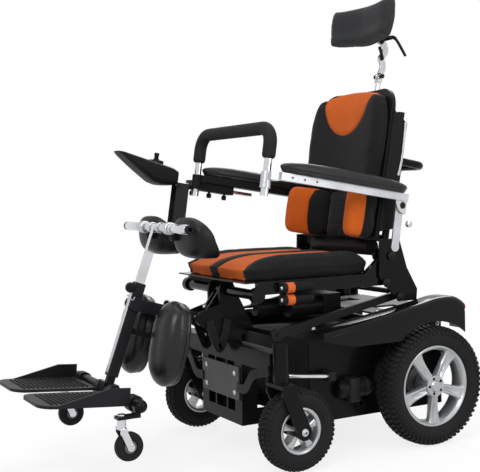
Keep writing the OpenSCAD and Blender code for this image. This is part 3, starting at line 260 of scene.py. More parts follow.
def bumped(tree, height, distance, strength=1.0, invert=False, **under):
    """A normal raised by a height, over another Normal where one is given."""
    ins = {"Height": height, "Distance": distance, "Strength": strength, **under}
    return add(tree, "ShaderNodeBump", ins, invert=invert).outputs["Normal"]


def hard_finish(name, colour, rough, metallic=0.0, coat=0.0, specular=0.16, grain=700.0, depth=0.00004,
                edge=0.0012, rub=0.25, rub_colour=(0.16, 0.16, 0.165), dust=0.10):
    """Paint, metal or moulded plastic with grain, rubbed edges and dust."""
    material, tree, shader = principled(
        name, Metallic=metallic, Coat_Weight=coat, Coat_Roughness=0.06, Specular_IOR_Level=specular)
    edges = use_group(tree, edge_group, Radius=edge)
    grains = use_group(tree, grain_group, Scale=grain)
    dusts = use_group(tree, dust_group, Amount=dust)
    body = mix_colour(tree, grains["Tone"], shade(colour, 0.75), shade(colour, 1.25))
    rubbed = mix_colour(tree, math_node(tree, "MULTIPLY", edges["Mask"], rub), body, shade(rub_colour))
    uneven = math_node(tree, "MULTIPLY_ADD", grains["Tone"], 0.5 * rough, 0.75 * rough)
    feed(tree, shader, Base_Color=mix_colour(tree, dusts["Mask"], rubbed, dust_colour),
         Roughness=math_node(tree, "ADD", uneven, dusts["Mask"]),
         Normal=bumped(tree, grains["Height"], depth, Normal=edges["Normal"]))
    return material


pale_rub = (0.3, 0.3, 0.31)
black_steel = hard_finish("black_steel", (0.0040, 0.0040, 0.0044), 0.30, coat=0.05, specular=0.08,
                          rub_colour=(0.10, 0.10, 0.105), dust=0.05)
dark_steel = hard_finish("dark_steel", (0.011, 0.011, 0.0125), 0.42, specular=0.11, dust=0.06)
grey_steel = hard_finish("grey_steel", (0.085, 0.086, 0.09), 0.42, specular=0.3, rub_colour=pale_rub)
gloss_black = hard_finish("gloss_black", (0.0025, 0.0025, 0.0029), 0.10, coat=0.14, specular=0.10,
                          grain=60.0, depth=0.00002, rub=0.15, dust=0.03)
black_plastic = hard_finish("black_plastic", (0.006, 0.006, 0.0068), 0.46, specular=0.10, grain=1500.0,
                            depth=0.00006, rub=0.12, rub_colour=(0.05, 0.05, 0.05), dust=0.05)
silver = hard_finish("silver", (0.50, 0.51, 0.53), 0.34, metallic=0.85, rub_colour=(0.8, 0.8, 0.8), dust=0.04)
chrome = hard_finish("chrome", (0.60, 0.61, 0.63), 0.10, metallic=1.0, grain=120.0, depth=0.00001,
                     rub_colour=(0.9, 0.9, 0.9), dust=0.03)
alloy = hard_finish("alloy", (0.40, 0.41, 0.42), 0.32, metallic=0.7, specular=0.4,
                    rub_colour=(0.7, 0.7, 0.71), dust=0.05)
battery = hard_finish("battery", (0.012, 0.012, 0.013), 0.55, grain=500.0, depth=0.00008)


def finished(mesh, finish):
    """A mesh with one finish all over."""
    mesh.materials.clear()
    mesh.materials.append(finish)
    return mesh


def carry_over(material, *names):
    """Gives CAD nodes whose shape is right their finish."""
    for name in names:
        finished(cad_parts[name].data, material)


carry_over(black_steel, "base_frame")
carry_over(dark_steel, "drive_motors", "stand_actuator")
carry_over(grey_steel, "gearboxes")
carry_over(battery, "battery_pack")
carry_over(chrome, "lift_rod")

# The cover plates are painted steel: a grey rear deck and a darker front apron, with the
# shade changing between them under the seat.
apron_colour = (0.040, 0.040, 0.042)
deck_steel = hard_finish("deck_steel", (0.062, 0.063, 0.066), 0.42, specular=0.24, rub_colour=pale_rub)
tree = deck_steel.node_tree
paint = tree.nodes["Principled BSDF"].inputs["Base Color"]
place = add(tree, "ShaderNodeTexCoord").outputs["Object"]
along = add(tree, "ShaderNodeSeparateXYZ", {0: place}).outputs["Y"]
rear = add(tree, "ShaderNodeMapRange", {"Value": along, "From Min": 0.08, "From Max": 0.14}).outputs["Result"]
tree.links.new(mix_colour(tree, rear, shade(apron_colour), paint.links[0].from_socket), paint)
carry_over(deck_steel, "cover_plates")


# Round-headed screws with a hex socket hold the plates of the base. A geometry tree sets
# one head on each point of a mesh, turned to the way that point aims. Each socket is a flat
# black hexagon on the head: painted shade where the hole would be.
def joined(name, meshes):
    """Several meshes as one, each with its own finish."""
    shape = bmesh.new()
    finishes = []
    for mesh in meshes:
        first = len(shape.faces)
        shape.from_mesh(mesh)
        shape.faces.ensure_lookup_table()
        for face in shape.faces[first:]:
            face.material_index += len(finishes)
        finishes += list(mesh.materials) or [None]
    whole = bpy.data.meshes.new(name)
    shape.to_mesh(whole)
    shape.free()
    for finish in finishes:
        whole.materials.append(finish)
    return whole


def put(name, parts, body, slot, *replaced):
    """Puts a piece made of finished parts in the scene, on the body that carries it."""
    piece = bpy.data.objects.new(name, joined(name, parts))
    scene.collection.objects.link(piece)
    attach(piece, body)
    if replaced:
        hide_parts(*replaced)
    return piece


def growth(name, inputs):
    """An empty geometry tree with named inputs for its sizes and its finish."""
    tree = bpy.data.node_groups.new(name, "GeometryNodeTree")
    tree.is_modifier = True
    tree.interface.new_socket("Geometry", in_out="INPUT", socket_type="NodeSocketGeometry")
    tree.interface.new_socket("Geometry", in_out="OUTPUT", socket_type="NodeSocketGeometry")
    for label, kind in inputs:
        tree.interface.new_socket(label, in_out="INPUT", socket_type="NodeSocket" + kind)
    return tree, tree.nodes.new("NodeGroupInput").outputs, tree.nodes.new("NodeGroupOutput").inputs


def end_tree(tree, copies, result, finish=None):
    """Ends a geometry tree: its copies made real, in one finish where one is given."""
    last = add(tree, "GeometryNodeRealizeInstances", {0: copies.outputs[0]})
    if finish:
        last = add(tree, "GeometryNodeSetMaterial", {"Geometry": last.outputs[0], "Material": finish})
    tree.links.new(last.outputs[0], result["Geometry"])


def grown(tree, mesh, **values):
    """The plain mesh that a geometry tree makes from a mesh with these inputs."""
    seed = bpy.data.objects.new(tree.name, mesh)
    scene.collection.objects.link(seed)
    modifier = seed.modifiers.new(tree.name, "NODES")
    modifier.node_group = tree
    for item in tree.interface.items_tree:
        if item.item_type == "SOCKET" and item.in_out == "INPUT" and item.name in values:
            modifier[item.identifier] = values[item.name]
    seed.update_tag()
    made = bpy.data.meshes.new_from_object(seed.evaluated_get(bpy.context.evaluated_depsgraph_get()))
    bpy.data.objects.remove(seed)
    made.shade_smooth()
    made.set_sharp_from_angle(angle=math.radians(35))
    return made


screw_tree, given, result = growth(
    "screw_heads", [("Radius", "Float"), ("Head", "Material"), ("Socket", "Material")])
whole = add(screw_tree, "GeometryNodeJoinGeometry")
# Washer, head and socket of a screw of radius 1, the socket a flat dark hexagon of painted
# shade in place of a hole: sides, upper and lower radius, height and finish
for sides, upper, lower, tall, finish in (
        (20, 1.25, 1.35, 0.16, "Head"), (20, 0.66, 1.0, 0.72, "Head"), (6, 0.44, 0.44, 0.74, "Socket")):
    cone = add(screw_tree, "GeometryNodeMeshCone", {
        "Vertices": sides, "Radius Top": upper, "Radius Bottom": lower, "Depth": tall})
    painted = add(screw_tree, "GeometryNodeSetMaterial", {
        "Geometry": cone.outputs["Mesh"], "Material": given[finish]})
    screw_tree.links.new(painted.outputs[0], whole.inputs[0])
aim = add(screw_tree, "GeometryNodeInputNamedAttribute", {"Name": "aim"}, data_type="FLOAT_VECTOR")
screw_turn = add(screw_tree, "FunctionNodeAlignRotationToVector", {"Vector": aim.outputs[0]}, axis="Z")
end_tree(screw_tree, add(screw_tree, "GeometryNodeInstanceOnPoints", {
    "Points": given["Geometry"], "Instance": whole.outputs[0], "Rotation": screw_turn.outputs[0],
    "Scale": given["Radius"]}), result)


def bolts(places, radius, finish):
    """Screw heads at places, each a point and the way its head faces."""
    points = bpy.data.meshes.new("screw_places")
    points.from_pydata([point for point, aim in places], [], [])
    aims = points.attributes.new("aim", "FLOAT_VECTOR", "POINT")
    aims.data.foreach_set("vector", [part for point, aim in places for part in aim])
    # The sockets' black steel is painted shade for the hole in each head.
    return grown(screw_tree, points, Radius=radius, Head=finish, Socket=black_steel)


outward = [(side, (side, 0, 0)) for side in (1, -1)]
plate_screws = [(0.135, 0.115), (0.135, 0.360), (0.300, 0.362), (0.440, 0.362), (0.585, 0.340)]
base_screws = [((side * 0.2022, y, z), aim) for side, aim in outward for y, z in plate_screws]
base_screws += [((side * 0.085, -0.0592, z), (0, -1, 0)) for side, aim in outward for z in (0.185, 0.240)]
base_screws += [((side * 0.185, y, 0.3912), (0, 0, 1)) for side, aim in outward for y in (0.37, 0.58)]
put("base_screws", [bolts(base_screws, 0.0055, silver)], "base", "silver")


# Small fittings bolted to the base: a dark V-bracket on the front towers, a bent strap from
# the apron to the caster beam, a chrome brake rod and a motor housing low on each side.
def mesh_from(shape, finish, angle):
    """A mesh from a bmesh, smooth where its faces meet below an angle."""
    mesh = bpy.data.meshes.new("part")
    shape.to_mesh(mesh)
    shape.free()
    if finish:
        mesh.materials.append(finish)
    mesh.shade_smooth()
    mesh.set_sharp_from_angle(angle=math.radians(angle))
    return mesh


def mesh_of(points, faces, finish=None, angle=35.0):
    """A mesh with its doubles merged and its faces outward."""
    shape = bmesh.new()
    made = [shape.verts.new(point) for point in points]
    for face in faces:
        shape.faces.new([made[index] for index in face])
    bmesh.ops.remove_doubles(shape, verts=shape.verts, dist=1e-6)
    bmesh.ops.recalc_face_normals(shape, faces=shape.faces)
    return mesh_from(shape, finish, angle)


def moved(mesh, matrix):
    """A mesh carried to its place. A mirrored one keeps its faces outward."""
    mesh.transform(matrix)
    if matrix.determinant() < 0:
        mesh.flip_normals()
    return mesh


def flip(side):
    """A scale that mirrors a right side, -1, and leaves a left one, 1."""
    return Matrix.Scale(side, 4, (1, 0, 0))


def put_both(name, parts, body, slot, *replaced):
    """Puts parts and their mirror images on the chair's other side in the scene as one piece."""
    return put(name, parts + [moved(part.copy(), flip(-1)) for part in parts], body, slot, *replaced)


def smooth_line(points, steps=6):
    """A smooth curve through points, as a list of vectors."""
    knots = [Vector(point) for point in points]
    knots = [2 * knots[0] - knots[1]] + knots + [2 * knots[-1] - knots[-2]]
    line = []
    for a, b, c, d in zip(knots, knots[1:], knots[2:], knots[3:]):
        for step in range(steps):
            t = step / steps
            line.append(0.5 * (2 * b + (c - a) * t + (2 * a - 5 * b + 4 * c - d) * t ** 2
                               + (3 * b - a - 3 * c + d) * t ** 3))
    return line + [knots[-2]]


def turned(profile, finish, steps=40, angle=35.0):
    """A closed profile of (x, r) points turned about the X axis."""
    rows = len(profile)
    points = []
    for step in range(steps):
        turn = 2 * math.pi * step / steps
        points += [(x, r * math.cos(turn), r * math.sin(turn)) for x, r in profile]
    faces = []
    for step in range(steps):
        for row in range(rows):
            a, b = step * rows, (step + 1) % steps * rows
            faces.append((a + row, b + row, b + (row + 1) % rows, a + (row + 1) % rows))
    return mesh_of(points, faces, finish, angle)


def lofted(rings, finish=None, angle=35.0):
    """A closed skin over rings of as many points each, with flat ends."""
    size = len(rings[0])
    points = [point for ring in rings for point in ring]
    faces = [tuple(range(size)), tuple(range(len(points) - size, len(points)))]
    for row in range(len(rings) - 1):
        for index in range(size):
            a, b = row * size + index, row * size + (index + 1) % size
            faces.append((a, b, b + size, a + size))
    return mesh_of(points, faces, finish, angle)


def heading(path, index):
    """The way a path runs at one of its points."""
    return (path[min(index + 1, len(path) - 1)] - path[max(index - 1, 0)]).normalized()


def swept(path, radius, finish, sides=16, angle=35.0, ends=0.0):
    """A round bar along a path. A radius may be one number or a list, and ends may be rounded."""
    path = [Vector(point) for point in path]
    radii = list(radius) if isinstance(radius, (list, tuple)) else [radius] * len(path)
    if ends:
        for index, toward in ((0, 1), (-1, -2)):
            out = (path[index] - path[toward]).normalized()
            tip, full = path[index], radii[index]
            for a in (math.radians(30), math.radians(60), math.radians(88)):
                path.insert(0 if index == 0 else len(path), tip + out * (ends * math.sin(a)))
                radii.insert(0 if index == 0 else len(radii), full - ends * (1 - math.cos(a)))
    rings = []
    across = None
    for index, point in enumerate(path):
        ahead = heading(path, index)
        if across is None:
            across = ahead.orthogonal().normalized()
        across = (across - ahead * across.dot(ahead)).normalized()
        other = ahead.cross(across)
        turns = [2 * math.pi * k / sides for k in range(sides)]
        rings.append([point + radii[index] * (math.cos(a) * across + math.sin(a) * other) for a in turns])
    return lofted(rings, finish, angle)


def block(low, high, finish, round_edge=0.002):
    """A box between two corners with rounded edges."""
    low, high = Vector(low), Vector(high)
    shape = bmesh.new()
    spot = Matrix.Translation((low + high) / 2) @ Matrix.Diagonal((*(high - low), 1))
    bmesh.ops.create_cube(shape, size=1.0, matrix=spot)
    bmesh.ops.bevel(shape, geom=list(shape.edges), offset=round_edge, segments=2, affect="EDGES", profile=0.5)
    return mesh_from(shape, finish, 50)


def ribbon(path, across, wide, thick, finish):
    """A flat bar along a path. Its thickness lies along one direction and its edges are eased."""
    path = [Vector(point) for point in path]
    flat = Vector(across).normalized()
    rings = []
    for index, point in enumerate(path):
        edge = heading(path, index).cross(flat).normalized() * (wide / 2)
        deep = flat * (thick / 2)
        rings.append([point + a * edge + b * deep for a, b in (
            (1, 0.7), (0.96, 1), (-0.96, 1), (-1, 0.7), (-1, -0.7), (-0.96, -1), (0.96, -1), (1, -0.7))])
    return lofted(rings, finish, 40)


vee_x = 0.0415
vee_line = smooth_line([(vee_x, -0.112, 0.388), (vee_x, -0.098, 0.338), (vee_x, -0.080, 0.305),
                        (vee_x, -0.066, 0.338), (vee_x, -0.052, 0.388)], 5)
bent_line = smooth_line([(0.104, -0.061, 0.205), (0.15, -0.061, 0.207), (0.19, -0.061, 0.25),
                         (0.225, -0.059, 0.262), (0.272, -0.058, 0.275)])
put_both("base_brackets", [ribbon(vee_line, (1, 0, 0), 0.024, 0.005, dark_steel),
                           ribbon(bent_line, (0, 1, 0), 0.026, 0.004, dark_steel)], "base", "dark_steel")
rod_line = [(0.230, -0.010, 0.252), (0.230, 0.052, 0.243), (0.230, 0.172, 0.229)]
put_both("brake_rods", [
    swept(rod_line, 0.0062, chrome, ends=0.004),
    block((0.220, -0.040, 0.238), (0.240, -0.004, 0.273), dark_steel),
    block((0.2025, 0.160, 0.216), (0.240, 0.184, 0.242), dark_steel)], "base", "chrome")
x_to_rear = spun(90, "Z")
case_spot = at(0.209, 0, 0.182) @ x_to_rear
case = turned([(0.204, 0.0), (0.204, 0.020), (0.210, 0.0255), (0.222, 0.027), (0.300, 0.027),
               (0.312, 0.0255), (0.320, 0.019), (0.320, 0.0)], black_plastic, 48)
band = turned([(0.294, 0.0268), (0.294, 0.0286), (0.302, 0.0286), (0.302, 0.0268)], dark_steel, 48)
cradle = block((0.2025, 0.232, 0.146), (0.240, 0.268, 0.215), dark_steel, 0.004)
put_both("side_motors", [moved(case, case_spot), moved(band, case_spot), cradle], "base", "dark_steel")


# The drive tyres are moulded rubber: a round carcass with a rib on each wall, and chunky
# tread blocks in middle, shoulder and side rows, set by a geometry tree.
def rubber(name, colour, rough=0.62):
    """Moulded rubber, a little paler where it is scuffed."""
    material, tree, shader = principled(name, Specular_IOR_Level=0.11)
    grains = use_group(tree, grain_group, Scale=900.0, Patch=22.0)
    dusts = use_group(tree, dust_group, Amount=0.10)
    body = mix_colour(tree, grains["Tone"], shade(colour, 0.7), shade(colour, 1.4))
    feed(tree, shader, Base_Color=mix_colour(tree, dusts["Mask"], body, dust_colour),
         Roughness=math_node(tree, "MULTIPLY_ADD", grains["Tone"], 0.3, rough - 0.15),
         Normal=bumped(tree, grains["Height"], 0.00012))
    return material


tyre_rubber = rubber("tyre", (0.010, 0.010, 0.0105))

tread_tree, given, result = growth("tread_blocks", [
    ("Count", "Int"), ("Radius", "Float"), ("Offset", "Float"), ("Size", "Vector"), ("Slant", "Vector"),
    ("Shift", "Float"), ("Rubber", "Material")])
lug = add(tread_tree, "GeometryNodeMeshCone", {
    "Vertices": 4, "Radius Top": 0.58, "Radius Bottom": 0.7071, "Depth": 1.0})
square = add(tread_tree, "GeometryNodeTransform", {
    "Geometry": lug.outputs["Mesh"], "Rotation": (0, 0, math.radians(45))})
sized = add(tread_tree, "GeometryNodeTransform", {"Geometry": square.outputs[0], "Scale": given["Size"]})
slanted = add(tread_tree, "GeometryNodeTransform", {"Geometry": sized.outputs[0], "Rotation": given["Slant"]})
index = add(tread_tree, "GeometryNodeInputIndex").outputs[0]
step = math_node(tread_tree, "DIVIDE", 2 * math.pi, given["Count"])
turn = math_node(tread_tree, "MULTIPLY", math_node(tread_tree, "ADD", index, given["Shift"]), step)
ring_spot = add(tread_tree, "ShaderNodeCombineXYZ", {
    "X": given["Offset"],
    "Y": math_node(tread_tree, "MULTIPLY", math_node(tread_tree, "COSINE", turn), given["Radius"]),
    "Z": math_node(tread_tree, "MULTIPLY", math_node(tread_tree, "SINE", turn), given["Radius"])})
ring_points = add(tread_tree, "GeometryNodePoints", {
    "Count": given["Count"], "Position": ring_spot.outputs[0]})
radial = add(tread_tree, "ShaderNodeCombineXYZ", {"X": math_node(tread_tree, "SUBTRACT", turn, math.pi / 2)})
end_tree(tread_tree, add(tread_tree, "GeometryNodeInstanceOnPoints", {
    "Points": ring_points.outputs[0], "Instance": slanted.outputs[0],
    "Rotation": add(tread_tree, "FunctionNodeEulerToRotation", {0: radial.outputs[0]}).outputs[0]}),
    result, given["Rubber"])


def both_ends(half):
    """A closed profile from its half on one side, which runs along +x."""
    return half + [(-x, r) for x, r in reversed(half)]


def tyre(half, count, rows):
    """A tyre over its half profile, with rows of tread blocks: radius, offset, size, slant and shift."""
    blocks = [grown(tread_tree, bpy.data.meshes.new("tread_row"), Count=count, Radius=radius, Offset=offset,
                    Size=size, Slant=slant, Shift=shift, Rubber=tyre_rubber)
              for radius, offset, size, slant, shift in rows]
    return joined("tyre", [turned(both_ends(half), tyre_rubber, 112, 50)] + blocks)


def put_sides(name, mesh, body, slot, node):
    """Puts a piece on the left body and its mirror image on the right one."""
    put(name + "_left", [mesh], body + "_left", slot, node + "_left")
    put(name + "_right", [moved(mesh.copy(), flip(-1))], body + "_right", slot, node + "_right")


drive_half = [(0.0266, 0.1182), (0.0330, 0.1240), (0.0352, 0.1290), (0.0360, 0.1300), (0.0372, 0.1380),
              (0.0378, 0.1420), (0.0386, 0.1436), (0.0378, 0.1454), (0.0368, 0.1560), (0.0322, 0.1644),
              (0.0225, 0.1686), (0.0110, 0.1698), (0.0040, 0.1700)]
drive_rows = []
for side in (1, -1):
    drive_rows += [
        (0.1674, side * 0.0090, (0.0165, 0.0102, 0.0076), (0, 0, side * 0.30), 0.25 * side),
        (0.1630, side * 0.0268, (0.0165, 0.0094, 0.0084), (0, side * 0.42, side * 0.2), 0.3),
        (0.1560, side * 0.0348, (0.0110, 0.0080, 0.0048), (0, side * 1.15, 0), 0.8)]
drive_spot = at(0.275, 0.490, 0.175)
drive_tyre = moved(tyre(drive_half, 64, drive_rows), drive_spot)
put_sides("drive_tyre", drive_tyre, "rear_wheel", "tyre", "rear_tyre")

# The drive rims are cast alloy under silver paint: a barrel with rolled lips, five spokes
# with two ridges each, a domed hub with its cap and five wheel bolts, and the axle stub.
barrel = turned([
    (-0.0264, 0.1178), (0.0264, 0.1178), (0.0285, 0.1186), (0.0296, 0.1165), (0.0290, 0.1130),
    (0.0265, 0.1110), (0.0220, 0.1070), (0.0080, 0.1050), (-0.0200, 0.1060), (-0.0285, 0.1110),
    (-0.0290, 0.1180)], alloy, 112)


def spoke(angle):
    """One spoke from the hub to the barrel, with a valley between its two ridges."""
    rings = []
    for share in (0.0, 0.08, 0.2, 0.4, 0.6, 0.8, 0.92, 1.0):
        out = 0.026 + share * 0.083
        half = 0.0125 + 0.0065 * share ** 1.6 + 0.004 * max(0, share - 0.8) * 5
        crest = 0.0258 - 0.0035 * math.sin(math.pi * share)
        valley = crest - 0.0062 * math.sin(math.pi * min(1, share * 1.15 + 0.05)) - 0.0012
        edge = [(1.0, 0.006), (1.02, crest - 0.006), (0.86, crest - 0.0008), (0.66, crest),
                (0.46, crest - 0.001), (0.2, valley)]
        outline = [(-half * k, x) for k, x in edge] + [(half * k, x) for k, x in reversed(edge)]
        rings.append([Vector((x, across, out)) for across, x in outline])
    return moved(lofted(rings, alloy, 50), Matrix.Rotation(angle, 4, "X"))


hub = turned([
    (-0.0668, 0.0), (-0.0668, 0.0116), (-0.0340, 0.0116), (-0.0340, 0.0260), (-0.0200, 0.0300),
    (0.0120, 0.0310), (0.0250, 0.0325), (0.0282, 0.0310), (0.0290, 0.0270), (0.0288, 0.0185),
    (0.0300, 0.0172), (0.0335, 0.0150), (0.0350, 0.0090), (0.0352, 0.0)], alloy, 64)
first_spoke = 0.63
spoke_turns = [2 * math.pi * k / 5 + first_spoke for k in range(5)]
bolt_ring = 0.0228
wheel_bolts = bolts([((0.0289, bolt_ring * math.cos(a), bolt_ring * math.sin(a)), (1, 0, 0))
                     for a in spoke_turns], 0.0034, dark_steel)
drive_rim = joined("drive_rim", [barrel, hub, wheel_bolts] + [spoke(a) for a in spoke_turns])
put_sides("drive_rim", moved(drive_rim, drive_spot), "rear_wheel", "alloy", "rear_rim")

# The casters have the same rubber on smaller cast rims, with five three-cornered windows
# between flat webs. Their forks are bent steel plate with an axle bolt through them.
caster_half = [(0.0217, 0.0622), (0.0272, 0.0690), (0.0300, 0.0790), (0.0310, 0.0850), (0.0304, 0.0872),
               (0.0296, 0.0960), (0.0250, 0.1044), (0.0160, 0.1076), (0.0060, 0.1084)]
caster_rows = []
for side in (1, -1):
    caster_rows += [
        (0.1075, side * 0.0078, (0.0140, 0.0098, 0.0044), (0, 0, side * 0.3), 0.25 * side),
        (0.1014, side * 0.0230, (0.0135, 0.0086, 0.0052), (0, side * 0.45, 0), 0.3)]
caster_x, caster_y, caster_z = 0.290, 0.016, 0.112
caster_spot = at(caster_x, caster_y, caster_z)
caster_tyre = moved(tyre(caster_half, 50, caster_rows), caster_spot)
put_sides("front_tyre", caster_tyre, "caster_wheel", "tyre", "caster_tyre")
caster_ring = turned(both_ends([
    (0.0216, 0.0619), (0.0240, 0.0632), (0.0252, 0.0600), (0.0235, 0.0560), (0.0180, 0.0525)]), alloy, 72)
caster_hub = turned(both_ends([
    (0.0160, 0.0220), (0.0255, 0.0190), (0.0260, 0.0105), (0.0345, 0.0100), (0.0345, 0.0)]), dark_steel, 48)


def web(angle):
    """A flat web of the caster rim, narrow at the hub and spread at the ring."""
    rings = []
    for share in (0.0, 0.3, 0.6, 0.85, 1.0):
        out = 0.018 + share * 0.037
        half = 0.0050 + 0.0070 * share ** 2.2
        deep = 0.0190 - 0.003 * share
        rings.append([Vector((x, across, out)) for x, across in (
            (deep, -half), (deep + 0.0015, -half * 0.6), (deep + 0.0015, half * 0.6), (deep, half),
            (-deep, half), (-deep, -half))])
    return moved(lofted(rings, alloy, 40), Matrix.Rotation(angle, 4, "X"))


webs = [web(2 * math.pi * k / 5) for k in range(5)]
caster_rim = moved(joined("caster_rim", [caster_ring, caster_hub] + webs), caster_spot)
put_sides("front_rim", caster_rim, "caster_wheel", "alloy", "caster_rim")
carry_over(black_steel, "caster_fork_left", "caster_fork_right")
for side, body in ((1, "caster_fork_left"), (-1, "caster_fork_right")):
    axle_heads = [((side * caster_x + out * 0.0432, caster_y, caster_z), (out, 0, 0)) for out in (1, -1)]
    put(body + "_axle", [bolts(axle_heads, 0.0078, silver)], body, "silver")

# The mudguards are thin gloss mouldings over the drive wheels, with a round outer shoulder,
# a wheel arch and two lugs each to the base. An amber lamp sits in the tail of each.
guard_top = smooth_line([(0, 0.106, 0.364), (0, 0.230, 0.383), (0, 0.347, 0.401), (0, 0.457, 0.419),
                         (0, 0.508, 0.4290), (0, 0.543, 0.4325), (0, 0.580, 0.4300), (0, 0.604, 0.4190)])
guard_in, guard_out, guard_wall, guard_arch = 0.2305, 0.300, 0.003, 0.189


def guard_ring(y, top):
    """The mudguard's wall at one station along the chair, outer skin first."""
    reach = abs(y - 0.490)
    low = 0.175 + math.sqrt(guard_arch ** 2 - reach ** 2) if reach < guard_arch else 0.0
    low = max(low, 0.318, 0.341 - 0.229 * (y - 0.106))
    low = min(low, top - 0.012)
    turn = min(0.022, (top - low) * 0.8)
    bend = [(math.sin(math.radians(a)), math.cos(math.radians(a))) for a in (0, 18, 36, 54, 72, 90)]
    middle_x, middle_z, inside = guard_out - turn, top - turn, turn - guard_wall
    skin = [(guard_in, top)] + [(middle_x + turn * s, middle_z + turn * c) for s, c in bend]
    skin += [(guard_out, low), (guard_out - guard_wall, low)]
    skin += [(middle_x + inside * s, middle_z + inside * c) for s, c in reversed(bend)]
    return [Vector((x, y, z)) for x, z in skin + [(guard_in, top - guard_wall)]]


guard_rings = [guard_ring(point.y, point.z) for point in guard_top]
guard_rings += [guard_ring(0.6075, 0.405), guard_ring(0.6080, 0.336)]
guard_parts = [lofted(guard_rings, gloss_black, 40)]
guard_parts += [block(low, high, black_steel) for low, high in (
    ((0.2022, 0.325, 0.367), (0.297, 0.355, 0.381)), ((0.2022, 0.548, 0.361), (0.2345, 0.578, 0.388)),
    ((0.2302, 0.548, 0.361), (0.2345, 0.578, 0.427)))]
put_both("mudguards", guard_parts, "base", "gloss_black", "fenders")

amber, tree, shader = principled(
    "amber_lens", Roughness=0.12, Specular_IOR_Level=0.5, Coat_Weight=0.6, Coat_Roughness=0.04)
prism = texture(tree, "Voronoi", Scale=420.0)["Distance"]
feed(tree, shader, Base_Color=mix_colour(tree, prism, (0.80, 0.16, 0.012, 1), (0.55, 0.085, 0.006, 1)),
     Normal=bumped(tree, prism, 0.0003, 0.6))
lens = turned([(0.0, 0.0), (0.0, 0.0134), (0.0030, 0.0131), (0.0064, 0.0118), (0.0094, 0.0094),
               (0.0116, 0.0062), (0.0126, 0.0030), (0.0129, 0.0)], amber)
bezel = turned([(0.0, 0.0134), (0.0, 0.0150), (0.0016, 0.0148), (0.0022, 0.0136)], gloss_black)
lamp_spot = at(0.283, 0.608, 0.397) @ x_to_rear
put_both("tail_lamps", [moved(lens, lamp_spot), moved(bezel, lamp_spot)], "base", "lamp", "tail_lights")

# The seat frame is a gloss black weldment. Two pairs of buffers sit on its sides: black
# fluted cylinders with an orange ribbed band and a screw in the front end.
carry_over(gloss_black, "seat_frame")
orange_paint = hard_finish("orange_paint", (0.56, 0.10, 0.010), 0.38, specular=0.35,
                           rub_colour=(0.7, 0.3, 0.1))
buffer_x, buffer_levels = 0.2315, (0.455, 0.488)


def ribbed(start, end, high, low, count):
    """Profile points of a ribbed band between two stations."""
    step = (end - start) / count
    return [(start + step * (k + share), r) for k in range(count)
            for share, r in ((0.05, low), (0.25, high), (0.7, high), (0.95, low))]


def buffer(z):
    """One buffer along the chair, its screw towards the front."""
    cap = turned([(0.013, 0.0), (0.013, 0.0110), (0.015, 0.0132), (0.021, 0.0140), (0.026, 0.0140),
                  (0.026, 0.0)], black_plastic)
    ring = turned([(0.0262, 0.0100)] + ribbed(0.0264, 0.0500, 0.0149, 0.0136, 5) + [(0.0502, 0.0100)],
                  orange_paint)
    flutes = turned([(0.0504, 0.0)] + ribbed(0.0506, 0.1040, 0.0143, 0.0128, 8)
                    + [(0.108, 0.0130), (0.111, 0.0110), (0.111, 0.0)], black_plastic)
    return moved(joined("buffer", [cap, ring, flutes]), at(buffer_x, 0, z) @ x_to_rear)


buffer_plate = block((0.2152, 0.014, 0.440), (0.2195, 0.110, 0.503), dark_steel)
buffer_screws = bolts([((buffer_x, 0.0128, z), (0, -1, 0)) for z in buffer_levels], 0.0048, silver)
buffer_parts = [buffer(z) for z in buffer_levels] + [buffer_plate, buffer_screws]
put_both("seat_buffers", buffer_parts, "seat", "orange_band", "buffers")


# The seat cushion is foam under stretch knit: orange thigh channels between a black middle
# strip and raised black bolsters, sewn together along sunk seams with a top stitch.
def knit(name, dark, bright, cell=1100.0):
    """Stretch knit in two colours. The panel attribute is the distance past a seam, bright below 0."""
    material, tree, shader = principled(
        name, Specular_IOR_Level=0.10, Sheen_Weight=0.07, Sheen_Roughness=0.5)
    loops = texture(tree, "Voronoi", Scale=cell)["Distance"]
    cloud = texture(tree, "Noise", Scale=18.0, Detail=4.0)["Fac"]
    panel = add(tree, "ShaderNodeAttribute", attribute_name="panel").outputs["Fac"]
    which = math_node(tree, "MULTIPLY_ADD", panel, 900.0, 0.5, clamp=True)
    seam = math_node(tree, "MULTIPLY_ADD", math_node(tree, "ABSOLUTE", panel), 480.0, 0.25, clamp=True)
    black = mix_colour(tree, loops, shade(dark, 1.5), shade(dark, 0.5))
    orange = mix_colour(tree, loops, shade(bright, 1.12), shade(bright, 0.72))
    cloth = mix_colour(tree, which, orange, black)
    toned = mix_colour(tree, math_node(tree, "MULTIPLY", cloud, 0.22), cloth, shade(dark, 0.8))
    feed(tree, shader, Base_Color=mix_colour(tree, seam, shade(dark, 0.3), toned),
         Roughness=math_node(tree, "MULTIPLY_ADD", cloud, 0.2, 0.72),
         Normal=bumped(tree, loops, 0.00035, 0.7, invert=True))
    return material


seat_knit = knit("seat_knit", (0.0085, 0.0085, 0.0092), (0.60, 0.112, 0.0115))
seam_thread = hard_finish("seam_thread", (0.012, 0.012, 0.013), 0.7, grain=3000.0)


